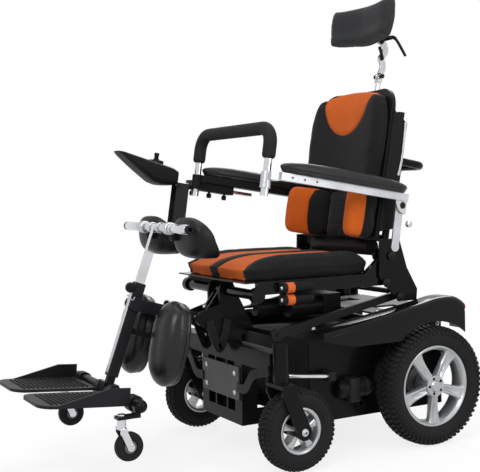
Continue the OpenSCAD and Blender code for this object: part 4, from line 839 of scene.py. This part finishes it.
def pad(size, rounding, edge, power, count, crown=None, wrap=0.0, tuck=0.95):
    """A closed pad on its back plane: x across, y up, z out. The crown adds to its height in place."""
    wide, high, thick = size
    columns, rows = count
    points = []
    low = []
    for j in range(rows + 1):
        for i in range(columns + 1):
            u, v = 2 * i / columns - 1, 2 * j / rows - 1
            corner = rounding[0] + (rounding[1] - rounding[0]) * (v + 1) / 2
            x = wide / 2 * u * math.sqrt(1 - corner * v * v / 2)
            y = high / 2 * v * math.sqrt(1 - corner * u * u / 2)
            dome = (1 - abs(u) ** power) * (1 - abs(v) ** power)
            z = thick * (edge + (1 - edge) * dome ** 0.6) + wrap * u * u
            points.append(Vector((x, y, z + (crown(x, y) * dome ** 0.5 if crown else 0))))
            low.append(Vector((x * tuck, y * tuck, wrap * u * u)))
    across = columns + 1
    cells = [(j * across + i, j * across + i + 1, (j + 1) * across + i + 1, (j + 1) * across + i)
             for j in range(rows) for i in range(columns)]
    rim = list(range(across)) + [(j + 1) * across - 1 for j in range(1, rows + 1)]
    rim += [rows * across + i for i in range(columns - 1, -1, -1)]
    rim += [j * across for j in range(rows - 1, 0, -1)]
    total = len(points)
    waist = total + len(low)
    middle = [points[k] * 0.55 + low[k] * 0.45 for k in rim]
    faces = cells + [tuple(total + k for k in reversed(cell)) for cell in cells]
    for n, k in enumerate(rim):
        m = (n + 1) % len(rim)
        faces.append((k, waist + n, waist + m, rim[m]))
        faces.append((waist + n, total + k, total + rim[m], waist + m))
    return mesh_of(points + low + middle, faces, angle=180)


def stuffed(mesh, cap, voxel=0.006):
    """The pad swollen by its filling: remeshed, blown up a little as cloth, then smoothed."""
    seed = bpy.data.objects.new("pad", mesh)
    scene.collection.objects.link(seed)

    def baked():
        """The mesh that the seed's modifiers make, with those modifiers taken off."""
        made = bpy.data.meshes.new_from_object(seed.evaluated_get(bpy.context.evaluated_depsgraph_get()))
        seed.modifiers.clear()
        return made

    remesh = seed.modifiers.new("even", "REMESH")
    remesh.mode = "VOXEL"
    remesh.voxel_size = voxel
    even = baked()
    seed.data = even
    held = seed.vertex_groups.new(name="held")
    held.add([vertex.index for vertex in even.vertices if vertex.normal.z < -0.6], 1.0, "REPLACE")
    cloth = seed.modifiers.new("fill", "CLOTH")
    cloth.settings.use_pressure = True
    cloth.settings.uniform_pressure_force = 4.0
    cloth.settings.vertex_group_mass = "held"
    cloth.settings.effector_weights.gravity = 0.0
    last_frame = 20
    cloth.point_cache.frame_start = 1
    cloth.point_cache.frame_end = last_frame
    for number in range(1, last_frame + 1):
        scene.frame_set(number)
    blown = bpy.data.meshes.new_from_object(seed.evaluated_get(bpy.context.evaluated_depsgraph_get()))
    scene.frame_set(1)
    seed.modifiers.clear()
    for vertex, rest in zip(blown.vertices, even.vertices):
        shift = vertex.co - rest.co
        if shift.length > cap:
            vertex.co = rest.co + shift * (cap / shift.length)
    seed.data = blown
    smooth = seed.modifiers.new("smooth", "SUBSURF")
    smooth.levels = 1
    smooth.render_levels = 1
    done = baked()
    bpy.data.objects.remove(seed)
    done.shade_smooth()
    return done


def sewn(mesh, finish, panel, seams=None, depth=0.003, wide=0.006):
    """The pad in its finish, with its seams sunk and each point marked by its side of them."""
    marks = mesh.attributes.new("panel", "FLOAT", "POINT")
    normals = [vertex.normal.copy() for vertex in mesh.vertices]
    values = []
    for vertex, normal in zip(mesh.vertices, normals):
        values.append(panel(vertex.co))
        line = abs((seams or panel)(vertex.co))
        if normal.z > -0.2 and line < 3 * wide:
            vertex.co -= normal * (depth * math.exp(-(line / wide) ** 2))
    marks.data.foreach_set("value", values)
    return finished(mesh, finish)


stitch_tree, given, result = growth("top_stitch", [("Pitch", "Float"), ("Thread", "Material")])
run = add(stitch_tree, "GeometryNodeMeshToCurve", {"Mesh": given["Geometry"]})
even_run = add(stitch_tree, "GeometryNodeResampleCurve", {
    "Curve": run.outputs[0], "Length": given["Pitch"]}, mode="LENGTH")
strand = add(stitch_tree, "GeometryNodeMeshCylinder", {"Vertices": 6, "Radius": 0.00045, "Depth": 0.0030})
along = add(stitch_tree, "FunctionNodeAlignRotationToVector", {
    "Vector": add(stitch_tree, "GeometryNodeInputTangent").outputs[0]}, axis="Z")
end_tree(stitch_tree, add(stitch_tree, "GeometryNodeInstanceOnPoints", {
    "Points": even_run.outputs[0], "Instance": strand.outputs["Mesh"], "Rotation": along.outputs[0]}),
    result, given["Thread"])


def dropped(mesh, spots, start, lift):
    """Points straight below (x, y) spots on a mesh, lifted a little off it."""
    face = BVHTree.FromPolygons([v.co for v in mesh.vertices], [p.vertices for p in mesh.polygons])
    hits = [face.ray_cast(Vector((x, y, start)), Vector((0, 0, -1)))[0] for x, y in spots]
    return [hit + Vector((0, 0, lift)) for hit in hits if hit]


def stitched(mesh, lines):
    """The pad with top stitches along lines over its face."""
    rows = []
    for line in lines:
        spots = dropped(mesh, line, 1.0, 0.0002)
        track = bpy.data.meshes.new("track")
        track.from_pydata(spots, [(k, k + 1) for k in range(len(spots) - 1)], [])
        rows.append(grown(stitch_tree, track, Pitch=0.0045, Thread=seam_thread))
    return joined("stitched_pad", [mesh] + rows)


strip_half = 0.024


def bolster_line(y):
    """Where a seat bolster's seam runs across the chair, wide at the front corner."""
    return 0.128 + 0.052 * max(0.0, min(1.0, (-0.10 - y) / 0.125)) ** 2


def seat_panel(spot):
    """Below 0 on the orange channels of the seat."""
    return max(strip_half - abs(spot.x), abs(spot.x) - bolster_line(spot.y))


def seat_crown(x, y):
    """Raised bolsters, channels sunk for the thighs and a soft fall at the front."""
    side = min(1.0, max(0.0, abs(x) - 0.115) / 0.085)
    thigh = math.exp(-((abs(x) - 0.082) / 0.050) ** 2)
    fall = max(0.0, (-0.08 - y) / 0.142)
    return 0.017 * math.sin(side * math.pi / 2) ** 1.5 * (1 - fall) - 0.007 * thigh - 0.020 * fall ** 1.6


seat_pad = stuffed(pad((0.386, 0.434, 0.058), (0.14, 0.16), 0.52, 7, (34, 34), seat_crown), 0.005)
sewn(seat_pad, seat_knit, seat_panel, depth=0.0032, wide=0.0055)
stitch_gap = 0.005
ys = [-0.195 + 0.39 * k / 40 for k in range(41)]
seat_lines = [[(side * (line(y) + gap), y) for y in ys] for side in (1, -1) for line, gap in (
    (bolster_line, stitch_gap), (lambda y: strip_half, -stitch_gap))]
seat_parts = [moved(stitched(seat_pad, seat_lines), at(0, 0.136, 0.5075))]
seat_piece = put("seat_cushion_pad", seat_parts, "seat", "black_fabric", "seat_cushion")

# The back carrier, links and canes are black steel, and the shell is moulded black plastic.
# Screws hold the carrier's pivots, and a bright trim edges each cheek of the shell.
carry_over(black_steel, "back_carrier", "back_canes", "push_bar")
carry_over(dark_steel, "control_links")
carry_over(black_plastic, "back_shell")
carry_over(silver, "arm_uprights")
pivot_heads = [((side * 0.2292, y, z), aim) for side, aim in outward for y, z in (
    (0.393, 0.556), (0.373, 0.478), (0.424, 0.434))]
put("carrier_screws", [bolts(pivot_heads, 0.0095, dark_steel)], "carrier", "dark_steel")
trim_line = [back_place @ Vector((0.1935, y, z)) for y, z in (
    (0.016, 0.400), (0.019, 0.34), (0.019, 0.285), (0.014, 0.24))]
trim = ribbon(smooth_line(trim_line, 5), (1, 0, 0), 0.007, 0.0016, silver)
put_both("shell_trims", [trim], "back", "silver")
knob_shape = ((0.0, 0.45), (0.18, 0.5), (0.22, 0.86), (0.30, 0.98), (0.75, 1.0), (0.93, 0.9), (1.0, 0.6))


def knob(length, radius, lobes, finish):
    """A hand knob along X with a lobed grip and a round face."""
    rings = []
    for x, share in knob_shape:
        ring = []
        for k in range(48):
            a = 2 * math.pi * k / 48
            reach = radius * share * (1 + 0.07 * math.cos(lobes * a))
            ring.append(Vector((x * length, reach * math.cos(a), reach * math.sin(a))))
        rings.append(ring)
    return lofted(rings, finish, 40)


arm_knob = moved(knob(0.016, 0.0095, 6, silver), at(0.2292, 0.449, 0.647))
put_both("arm_knobs", [arm_knob], "carrier", "silver")
push_knob = moved(knob(0.020, 0.014, 7, black_plastic), back_place @ at(0.1525, 0.030, 0.262))
push_tab = moved(block((0.136, 0.020, 0.245), (0.152, 0.045, 0.300), black_steel, 0.003), back_place)
put_both("push_clamps", [push_knob, push_tab], "back", "black_plastic")

# The back cushion is a crowned pad with big round upper corners. An orange shield is let
# into its black knit and its sides curve forward with the shell.
to_front = spun(90, "X")
shield = (0.118, 0.147, 0.140)


def back_panel(spot):
    """Below 0 inside the orange shield, whose foot is half an ellipse."""
    half, level, deep = shield
    fall = min(0.0, spot.y - level) / deep
    return 0.075 * (math.sqrt((spot.x / half) ** 2 + fall ** 2) - 1)


def shield_edge(gap):
    """A line that follows the shield's seam on its inner side."""
    half, level, deep = shield
    return [((half - gap) * math.cos(a), level + (deep - gap) * math.sin(a))
            for a in (math.radians(-180 + 180 * k / 60) for k in range(2, 59))]


back_pad = stuffed(pad(
    (0.367, 0.300, 0.046), (0.16, 0.62), 0.70, 6, (36, 30), wrap=0.020, tuck=1.0), 0.004)
sewn(back_pad, seat_knit, back_panel, depth=0.0024, wide=0.0045)
back_spot = back_place @ at(0, -0.0178, 0.348) @ to_front
back_parts = [moved(stitched(back_pad, [shield_edge(stitch_gap)]), back_spot)]
back_piece = put("back_cushion_pad", back_parts, "back", "black_fabric", "back_cushion")

# Two deep side bolsters and a flat pad fill the small of the back. The bolsters are orange
# on their inner faces and noses, black on their outer sides, and the middle pad is black.
lumbar_low, lumbar_high = 0.044, 0.190
bolster_plan = [(0.070, -0.0225), (0.125, -0.0285), (0.180, -0.0385), (0.181, -0.092), (0.178, -0.122),
                (0.166, -0.134), (0.150, -0.132), (0.137, -0.121), (0.102, -0.081), (0.070, -0.043)]
no_seam = 0.02


def all_dark(spot):
    """The panel of a pad in one colour, far from any seam of the knit."""
    return no_seam


def bolster():
    """A foam bolster over its plan, with round upper and lower ends."""
    knots = [Vector((x, y, 0)) for x, y in bolster_plan]
    ring = smooth_line(knots[-2:] + knots + knots[:2], 5)[10:-10]
    centre = sum(ring, Vector()) / len(ring)
    rings = []
    half = (lumbar_high - lumbar_low) / 2
    for k in range(17):
        share = -math.cos(math.pi * k / 16)
        scale = 0.52 + 0.48 * (1 - abs(share) ** 4.5) ** 0.45
        height = lumbar_low + half + half * share
        rings.append([centre + (point - centre) * scale + Vector((0, 0, height)) for point in ring])
    return lofted(rings, angle=180)


def bolster_panel(spot):
    """Below 0 on a bolster's orange face and nose."""
    return max(0.106 - spot.x, min(spot.x - 0.165, spot.y + 0.082))


lumbar_parts = []
for side in (1, -1):
    shape = stuffed(bolster(), 0.003, 0.005)
    sewn(shape, seat_knit, bolster_panel, depth=0.002, wide=0.004)
    lumbar_parts.append(moved(shape, back_place @ flip(side)))
flat_pad = stuffed(pad((0.130, 0.142, 0.027), (0.1, 0.1), 0.6, 6, (16, 16)), 0.003, 0.005)
sewn(flat_pad, seat_knit, all_dark, lambda spot: abs(spot.y) - 0.035, depth=0.002, wide=0.005)
flat_spot = back_place @ at(0, -0.0205, (lumbar_low + lumbar_high) / 2) @ to_front
lumbar_parts.append(moved(flat_pad, flat_spot))
lumbar_piece = put("lumbar_cushions", lumbar_parts, "back", "orange_fabric", "lumbar_pads")

# The headrest rides on a bright curved link with two clamped pivots. Its mount is black,
# with a bent lever, and its pad is charcoal knit, curved round the head.
carry_over(silver, "headrest_stem")
carry_over(black_plastic, "headrest_mount")
low_pivot, link_middle, high_pivot = (0, 0.040, 0.564), (0, 0.0375, 0.622), (0, 0.028, 0.676)
link_line = smooth_line([low_pivot, (0, 0.048, 0.588), (0, 0.046, 0.608), link_middle, (0, 0.047, 0.638),
                         (0, 0.050, 0.652), (0, 0.043, 0.667), high_pivot], 5)
link_parts = [ribbon(link_line, (1, 0, 0), 0.021, 0.0078, silver)]
link_boss = turned(both_ends([(0.0072, 0.0072), (0.0085, 0.0060), (0.0085, 0.0)]), dark_steel)
link_parts.append(moved(link_boss, at(*link_middle)))
link_parts.append(swept([(0.009, 0.0375, 0.622), (0.014, 0.024, 0.640), (0.016, 0.016, 0.650)], 0.0048,
                        dark_steel, 14, ends=0.003))
for pivot in (low_pivot, high_pivot):
    eye = turned(both_ends([(0.0030, 0.0120), (0.0039, 0.0110), (0.0039, 0.0)]), silver)
    link_parts.append(moved(eye, at(*pivot)))
link = moved(joined("link", link_parts), back_place)
put("headrest_curved_link", [link], "headrest_link", "silver", "headrest_link")
lever_line = smooth_line([(0.022, 0.022, 0.678), (0.036, 0.030, 0.682), (0.046, 0.042, 0.684),
                          (0.052, 0.056, 0.672), (0.062, 0.084, 0.634)], 5)
lever_radii = [0.0050] * 8 + [0.0058] * 5 + [0.0046] * (len(lever_line) - 13)
lever = swept([back_place @ point for point in lever_line], lever_radii, dark_steel, 14, ends=0.003)
put("head_lever", [lever], "headrest", "dark_steel")
head_knobs = []
for side in (1, -1):
    knob_spot = back_place @ at(side * 0.0095, *low_pivot[1:]) @ flip(side)
    head_knobs.append(moved(knob(0.012, 0.0070, 6, dark_steel), knob_spot))
put("head_clamp_knobs", head_knobs, "headrest_stem", "dark_steel")
charcoal = (0.026, 0.027, 0.029)
head_knit = knit("head_knit", charcoal, charcoal)
head_wide, head_high, head_wrap = 0.306, 0.126, 0.024


def head_crown(x, y):
    """A hollow for the neck under a full upper edge."""
    full = math.sin(min(1.0, abs(x) / 0.10) * math.pi / 2)
    return 0.005 * full - 0.006 * math.exp(-((y + 0.02) / 0.03) ** 2)


def head_seam(spot):
    """The distance from the seam round the headrest's edge."""
    return spot.z - 0.020 - head_wrap * (spot.x / (head_wide / 2)) ** 2


head_pad = stuffed(pad((head_wide, head_high, 0.042), (0.34, 0.24), 0.6, 6, (34, 18), head_crown, head_wrap),
                   0.004, 0.005)
for vertex in head_pad.vertices:
    low_share = max(0.0, -vertex.co.y / (head_high / 2))
    vertex.co.y -= 0.005 * low_share ** 2 * math.exp(-(vertex.co.x / 0.05) ** 2)
sewn(head_pad, head_knit, all_dark, head_seam, depth=0.0012, wide=0.003)
moved(head_pad, back_place @ at(0, -0.0125, 0.712) @ to_front)
head_piece = put("headrest_cushion", [head_pad], "headrest", "black_fabric", "headrest_pad")

# Each armrest has a moulded pad in smooth black hide. The left rail is satin aluminium with
# three accessory holes, and the right one a black body that holds the joystick rods.
carry_over(silver, "left_arm_rail")
carry_over(black_plastic, "right_arm_rail")


def hide(name, colour, rough, specular=0.2):
    """Smooth coated hide with fine creases."""
    material, tree, shader = principled(
        name, Specular_IOR_Level=specular, Coat_Weight=0.05, Coat_Roughness=0.25)
    crease = texture(tree, "Voronoi", {"feature": "DISTANCE_TO_EDGE"}, Scale=620.0)["Distance"]
    cloud = texture(tree, "Noise", Scale=20.0, Detail=5.0)["Fac"]
    dusts = use_group(tree, dust_group, Amount=0.12)
    body = mix_colour(tree, cloud, shade(colour, 0.7), shade(colour, 1.35))
    feed(tree, shader, Base_Color=mix_colour(tree, dusts["Mask"], body, dust_colour),
         Roughness=math_node(tree, "MULTIPLY_ADD", cloud, 0.24, rough - 0.12),
         Normal=bumped(tree, crease, 0.0002, 0.5))
    return material


arm_hide = hide("arm_hide", (0.011, 0.011, 0.012), 0.42)
for side, body in ((1, "left_arm"), (-1, "right_arm")):
    arm_pad = stuffed(pad((0.056, 0.440, 0.036), (0.45, 0.75), 0.5, 4, (12, 44)), 0.0025, 0.004)
    sewn(arm_pad, arm_hide, all_dark, lambda spot: spot.z - 0.008, depth=0.0016, wide=0.0022)
    moved(arm_pad, arm_place @ at(side * 0.232, -0.2045, 0.0392) @ spun(180, "Z"))
    arm_piece = put(body + "_cushion", [arm_pad], body, "leather", body + "_pad")
pivot_screw = bolts([(arm_place @ Vector((0.2372, 0.004, 0.004)), (1, 0, 0))], 0.0075, dark_steel)
put("arm_pivot_screw", [pivot_screw], "left_arm", "dark_steel")

# The grab bar is chromed tube under a thick foam grip that runs over both bends and ends in
# rounded cuffs.
carry_over(chrome, "grab_bar")
foam_skin = rubber("foam_skin", (0.014, 0.0145, 0.0155), 0.70)
grip_half, grip_low, grip_top, grip_bend = 0.208, 0.082, 0.158, 0.046
grip_line = [(-grip_half, grip_low), (-grip_half, grip_low + 0.012)]
for k in range(9):
    a = math.radians(180 - 11.25 * k)
    grip_line.append((-grip_half + grip_bend * (1 + math.cos(a)), grip_top - grip_bend * (1 - math.sin(a))))
grip_line += [(-0.08, grip_top), (0.0, grip_top)]
grip_line += [(-x, z) for x, z in reversed(grip_line[:-1])]
grip_path = [arm_place @ Vector((x, -0.449, z)) for x, z in grip_line]
grip = swept(grip_path, 0.0188, foam_skin, 32, 60, ends=0.010)
grip_piece = put("grab_grip", [grip], "grab_bar", "foam", "grab_foam")

# The joystick pod is a wedge-shaped moulding on two chrome rods, with a seam round its
# middle. A bellows boot and a stick stand on it, and three knobs clamp the rods.
carry_over(chrome, "joystick_rods")
carry_over(dark_steel, "joystick_gimbal")
pod_x = -0.240
pod_low = [(0, 0.10), (0.06, 0.055), (0.14, 0.02), (0.25, 0.0), (0.36, 0.01), (0.6, 0.33), (0.8, 0.62),
           (0.93, 0.83), (1, 0.93)]
pod_high = [(0, 0.60), (0.1, 0.70), (0.5, 0.84), (0.92, 0.985), (1, 1.0)]


def between(points, share):
    """The value of a run of (share, value) points at one share."""
    for (a, low), (b, high) in zip(points, points[1:]):
        if share <= b:
            return low + (high - low) * (share - a) / (b - a)
    return points[-1][1]


def power(value, exponent):
    """A power that keeps the sign, for an outline between an ellipse and a box."""
    return math.copysign(abs(value) ** exponent, value)


pod_rings = []
for share in (0.0, 0.012, 0.04, 0.1, 0.18, 0.28, 0.4, 0.52, 0.64, 0.76, 0.86, 0.93, 0.97, 0.99, 1.0):
    low, high = between(pod_low, share), between(pod_high, share)
    ease = min(1.0, 0.80 + share * 16) if share < 0.0125 else 1.0
    ease *= 1.0 if share < 0.93 else 1.0 - 0.35 * ((share - 0.93) / 0.07) ** 2
    half_x = 0.0418 * (1 - 0.30 * share ** 3) * ease
    half_z = (high - low) * 0.042 * ease
    middle = -0.012 + 0.042 * (high + low)
    ring = []
    for k in range(56):
        a = 2 * math.pi * k / 56
        c, s = math.cos(a), math.sin(a)
        groove = 1 - 0.020 * math.exp(-(s / 0.05) ** 2)
        ring.append(arm_place @ Vector((
            pod_x + half_x * groove * power(c, 0.42), -0.514 - share * 0.196,
            middle + half_z * groove * power(s, 0.5))))
    pod_rings.append(ring)
pod_shell = lofted(pod_rings, black_plastic, 50)
pod_panel = moved(block((-0.268, -0.5165, 0.004), (-0.212, -0.5135, 0.034), dark_steel, 0.001), arm_place)
stick_spot = arm_place @ at(pod_x, -0.5787, 0.038) @ spun(-90, "Y")
collar = turned([(0.009, 0.0205), (0.009, 0.0228), (0.0200, 0.0236), (0.0228, 0.0232),
                 (0.0240, 0.0222), (0.0240, 0.0208)], dark_steel, 48)
pod_parts = [pod_shell, pod_panel, moved(collar, stick_spot)]
put("joystick_housing", pod_parts, "joystick", "black_plastic", "joystick_pod")
boot = turned([(0.0232, 0.0), (0.0232, 0.0098), (0.0242, 0.0106), (0.0254, 0.0092), (0.0266, 0.0100),
               (0.0278, 0.0084), (0.0292, 0.0092), (0.0302, 0.0070), (0.0308, 0.0)], tyre_rubber)
shaft = turned([(0.0234, 0.0), (0.0234, 0.0060), (0.0310, 0.0060), (0.0325, 0.0066), (0.0440, 0.0078),
                (0.0462, 0.0074), (0.0470, 0.0056), (0.0470, 0.0)], black_plastic)
stick_parts = [moved(boot, stick_spot), moved(shaft, stick_spot)]
put("stick_and_boot", stick_parts, "stick", "black_plastic", "joystick_stick")
for which, y in (("front", -0.445), ("middle", -0.385), ("rear", -0.331)):
    rod_knob = moved(knob(0.018, 0.0078, 6, black_plastic), arm_place @ at(pod_x, y, -0.0095) @ spun(90, "Y"))
    put("clamp_knob_" + which, [rod_knob], "rod_knob_" + which, "black_plastic", "rod_knob_" + which)

# A flat webbing strap is looped over the rods and hangs below them. A thin lead runs from
# the pod's tail back to the armrest body.
webbing, tree, shader = principled("webbing", Specular_IOR_Level=0.12)
weave = texture(tree, "Wave", Scale=420.0, Distortion=0.6)["Fac"]
feed(tree, shader, Base_Color=mix_colour(tree, weave, (0.006, 0.006, 0.007, 1), (0.030, 0.030, 0.032, 1)),
     Roughness=math_node(tree, "MULTIPLY_ADD", weave, 0.1, 0.75), Normal=bumped(tree, weave, 0.0004, 0.8))
strap_half, strap_drop, strap_wide, strap_thick = 0.0178, 0.148, 0.042, 0.0022
strap_top, strap_turn = 0.004, strap_half - strap_drop
strap_side = [strap_top - (strap_top - strap_turn) * k / 12 for k in range(13)]
strap_points = [(-strap_half, z) for z in strap_side]
for k in range(1, 12):
    a = math.radians(15 * k)
    strap_points.append((-strap_half * math.cos(a), strap_turn - strap_half * math.sin(a)))
strap_points += [(strap_half, z) for z in reversed(strap_side)]
strap_run = [Vector((pod_x + x, -0.487, z)) for x, z in strap_points]
strap_mesh = moved(ribbon(strap_run, (0, 1, 0), strap_thick, strap_wide, webbing), arm_place)
strap_piece = put("rod_strap", [strap_mesh], "joystick", "webbing", "strap")
lead_width = 0.005
lead_line = [arm_place @ point for point in smooth_line([
    (-0.240, -0.5155, 0.012), (-0.242, -0.500, 0.006), (-0.240, -0.486, -0.016), (-0.240, -0.470, -0.019),
    (-0.240, -0.4615, -0.004)], 8)]
lead_mesh = joined("joystick_lead", [swept(lead_line, lead_width / 2, tyre_rubber, 14)])
lead = bpy.data.objects.new("joystick_lead", lead_mesh)
scene.collection.objects.link(lead)
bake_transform(lead)

# The legrest column is a dark steel box with a bright strip down its front. A mushroom
# knob and a spring clip lock its slide, and two screws hold each pivot plate.
carry_over(dark_steel, "legrest_column")
carry_over(black_steel, "legrest_slider")
strip = block((-0.0085, -0.0172, -0.258), (0.0085, -0.0150, -0.012), silver, 0.0008)
put("column_strip", [moved(strip, leg_place)], "legrest", "silver")
lock_knob = moved(knob(0.020, 0.0135, 0, black_plastic), at(0.0205, -0.345, 0.498))
clip_line = smooth_line([(0.0215, -0.352, 0.478), (0.026, -0.346, 0.470), (0.0255, -0.336, 0.462),
                         (0.0215, -0.330, 0.470)], 5)
put("slide_lock", [lock_knob, swept(clip_line, 0.0018, chrome, 10)], "legrest", "black_plastic")
plate_heads = [((side * 0.0205, y, z), aim) for side, aim in outward for y, z in (
    (-0.140, 0.395), (-0.215, 0.440))]
put("legrest_screws", [bolts(plate_heads, 0.0080, silver)], "legrest", "silver")

# The calf pads are long pillows of foam under glossy hide, one behind each leg, with a
# sunk seam near the backing.
calf_hide = hide("calf_hide", (0.008, 0.008, 0.009), 0.30, 0.24)
calf_pads = []
for side in (1, -1):
    calf = stuffed(pad((0.138, 0.233, 0.070), (0.92, 0.80), 0.45, 3.4, (22, 34)), 0.003, 0.005)
    sewn(calf, calf_hide, all_dark, lambda spot: spot.z - 0.010, depth=0.002, wide=0.0025)
    calf_pads.append(moved(calf, leg_place @ at(side * 0.112, 0.1137, -0.132) @ spun(98, "X")))
calf_piece = put("calf_cushions", calf_pads, "legrest", "leather", "calf_pads")

# The footplates are dark pressed steel with a ribbed rubber mat on top, and flip up on the
# foot tube. Small rubber wheels on chrome forks stand under the tube.
carry_over(dark_steel, "footplate_left", "footplate_right")
carry_over(chrome, "foot_fork_left", "foot_fork_right")
for side, which in ((1, "left"), (-1, "right")):
    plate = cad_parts["footplate_" + which].data
    ribs = []
    for k in range(15):
        ends = dropped(plate, [(side * x, -0.448 - 0.0125 * k) for x in (0.046, 0.182)], 0.6, 0.0008)
        ribs.append(swept(ends, 0.0026, tyre_rubber, 8, ends=0.0015))
    put("foot_mat_" + which, ribs, "footplate_" + which, "tyre")
    roller = turned(both_ends([
        (0.004, 0.0374), (0.0095, 0.0358), (0.0130, 0.030), (0.0130, 0.0200), (0.0110, 0.0185),
        (0.0128, 0.017), (0.0128, 0.0)]), tyre_rubber, 64)
    disc = turned(both_ends([(0.0126, 0.0164), (0.0134, 0.0150), (0.0134, 0.0)]), grey_steel)
    foot_spot = at(side * 0.217, -0.4383, 0.118)
    wheel = "foot_wheel_" + which
    put(wheel + "_tyre", [moved(roller, foot_spot), moved(disc, foot_spot)], wheel, "tyre", wheel)

# The knee bar is chromed tube with bright collars. Each knee cup is a smooth moulded dome,
# open towards the knee, with a leaning rolled edge and a clamp round the bar.
carry_over(chrome, "knee_bar")
cup_x, cup_z = 0.119, 0.629
cup_half, cup_tall, cup_deep, cup_wall = 0.084, 0.057, 0.0568, 0.006
cup_rear, cup_lean = -0.1750, 0.0335
bar_y, bar_z, bar_bore = -0.2499, 0.6563, 0.0106


def cup_ring(share, inset):
    """An outline of the knee cup at a share of its depth, inset by its wall."""
    swell = (1 - share ** 5) ** (1 / 2.6) if share < 1 else 0.0
    wide = max(0.0008, cup_half * swell - inset)
    tall = max(0.0008, cup_tall * swell - inset)
    ring = []
    for k in range(64):
        a = 2 * math.pi * k / 64
        c, s = math.cos(a), math.sin(a)
        ring.append(Vector((
            cup_x + wide * power(c, 0.78),
            cup_rear - share * (cup_deep - inset) - cup_lean * (1 - share) * s,
            cup_z + tall * power(s, 0.78))))
    return ring


depths = [math.sin(math.radians(90 * k / 18)) for k in range(19)]
cup_rings = [cup_ring(share, cup_wall) for share in reversed(depths)]
edge_roll = Vector((0, 0.0028, 0))
for share in (0.3, 0.7):
    cup_rings.append([a * (1 - share) + b * share + edge_roll
                      for a, b in zip(cup_ring(0, cup_wall), cup_ring(0, 0))])
cup_rings += [cup_ring(share, 0) for share in depths]
cup_skin = hide("cup_skin", (0.0065, 0.0065, 0.0072), 0.42, 0.14)
clamp = turned(both_ends([(0.011, 0.0170), (0.013, 0.0150), (0.013, 0.0108)]), silver)
boss = block((0.070, -0.246, 0.622), (0.094, -0.200, 0.654), black_plastic, 0.005)
knee_cup = joined("knee_cup", [lofted(cup_rings, cup_skin, 60), moved(clamp, at(0.082, bar_y, bar_z)), boss])
put_sides("knee_cup_shell", knee_cup, "knee_cup", "black_plastic", "knee_cup")
collar_half = both_ends([(0.0035, 0.0150), (0.005, 0.0138), (0.005, bar_bore)])
sleeve_half = both_ends([(0.043, 0.0130), (0.045, 0.0122), (0.045, bar_bore)])
cap_half = [(-0.007, bar_bore), (-0.007, 0.0122), (0.0005, 0.0122), (0.0022, 0.0100), (0.0026, 0.0)]
bar_fittings = [moved(turned(profile, finish), at(x, bar_y, bar_z)) for x, profile, finish in (
    (0.026, collar_half, silver), (0.104, collar_half, silver), (0.155, sleeve_half, chrome),
    (0.2082, cap_half, black_plastic))]
put_both("knee_bar_fittings", bar_fittings, "knee_bar", "silver")
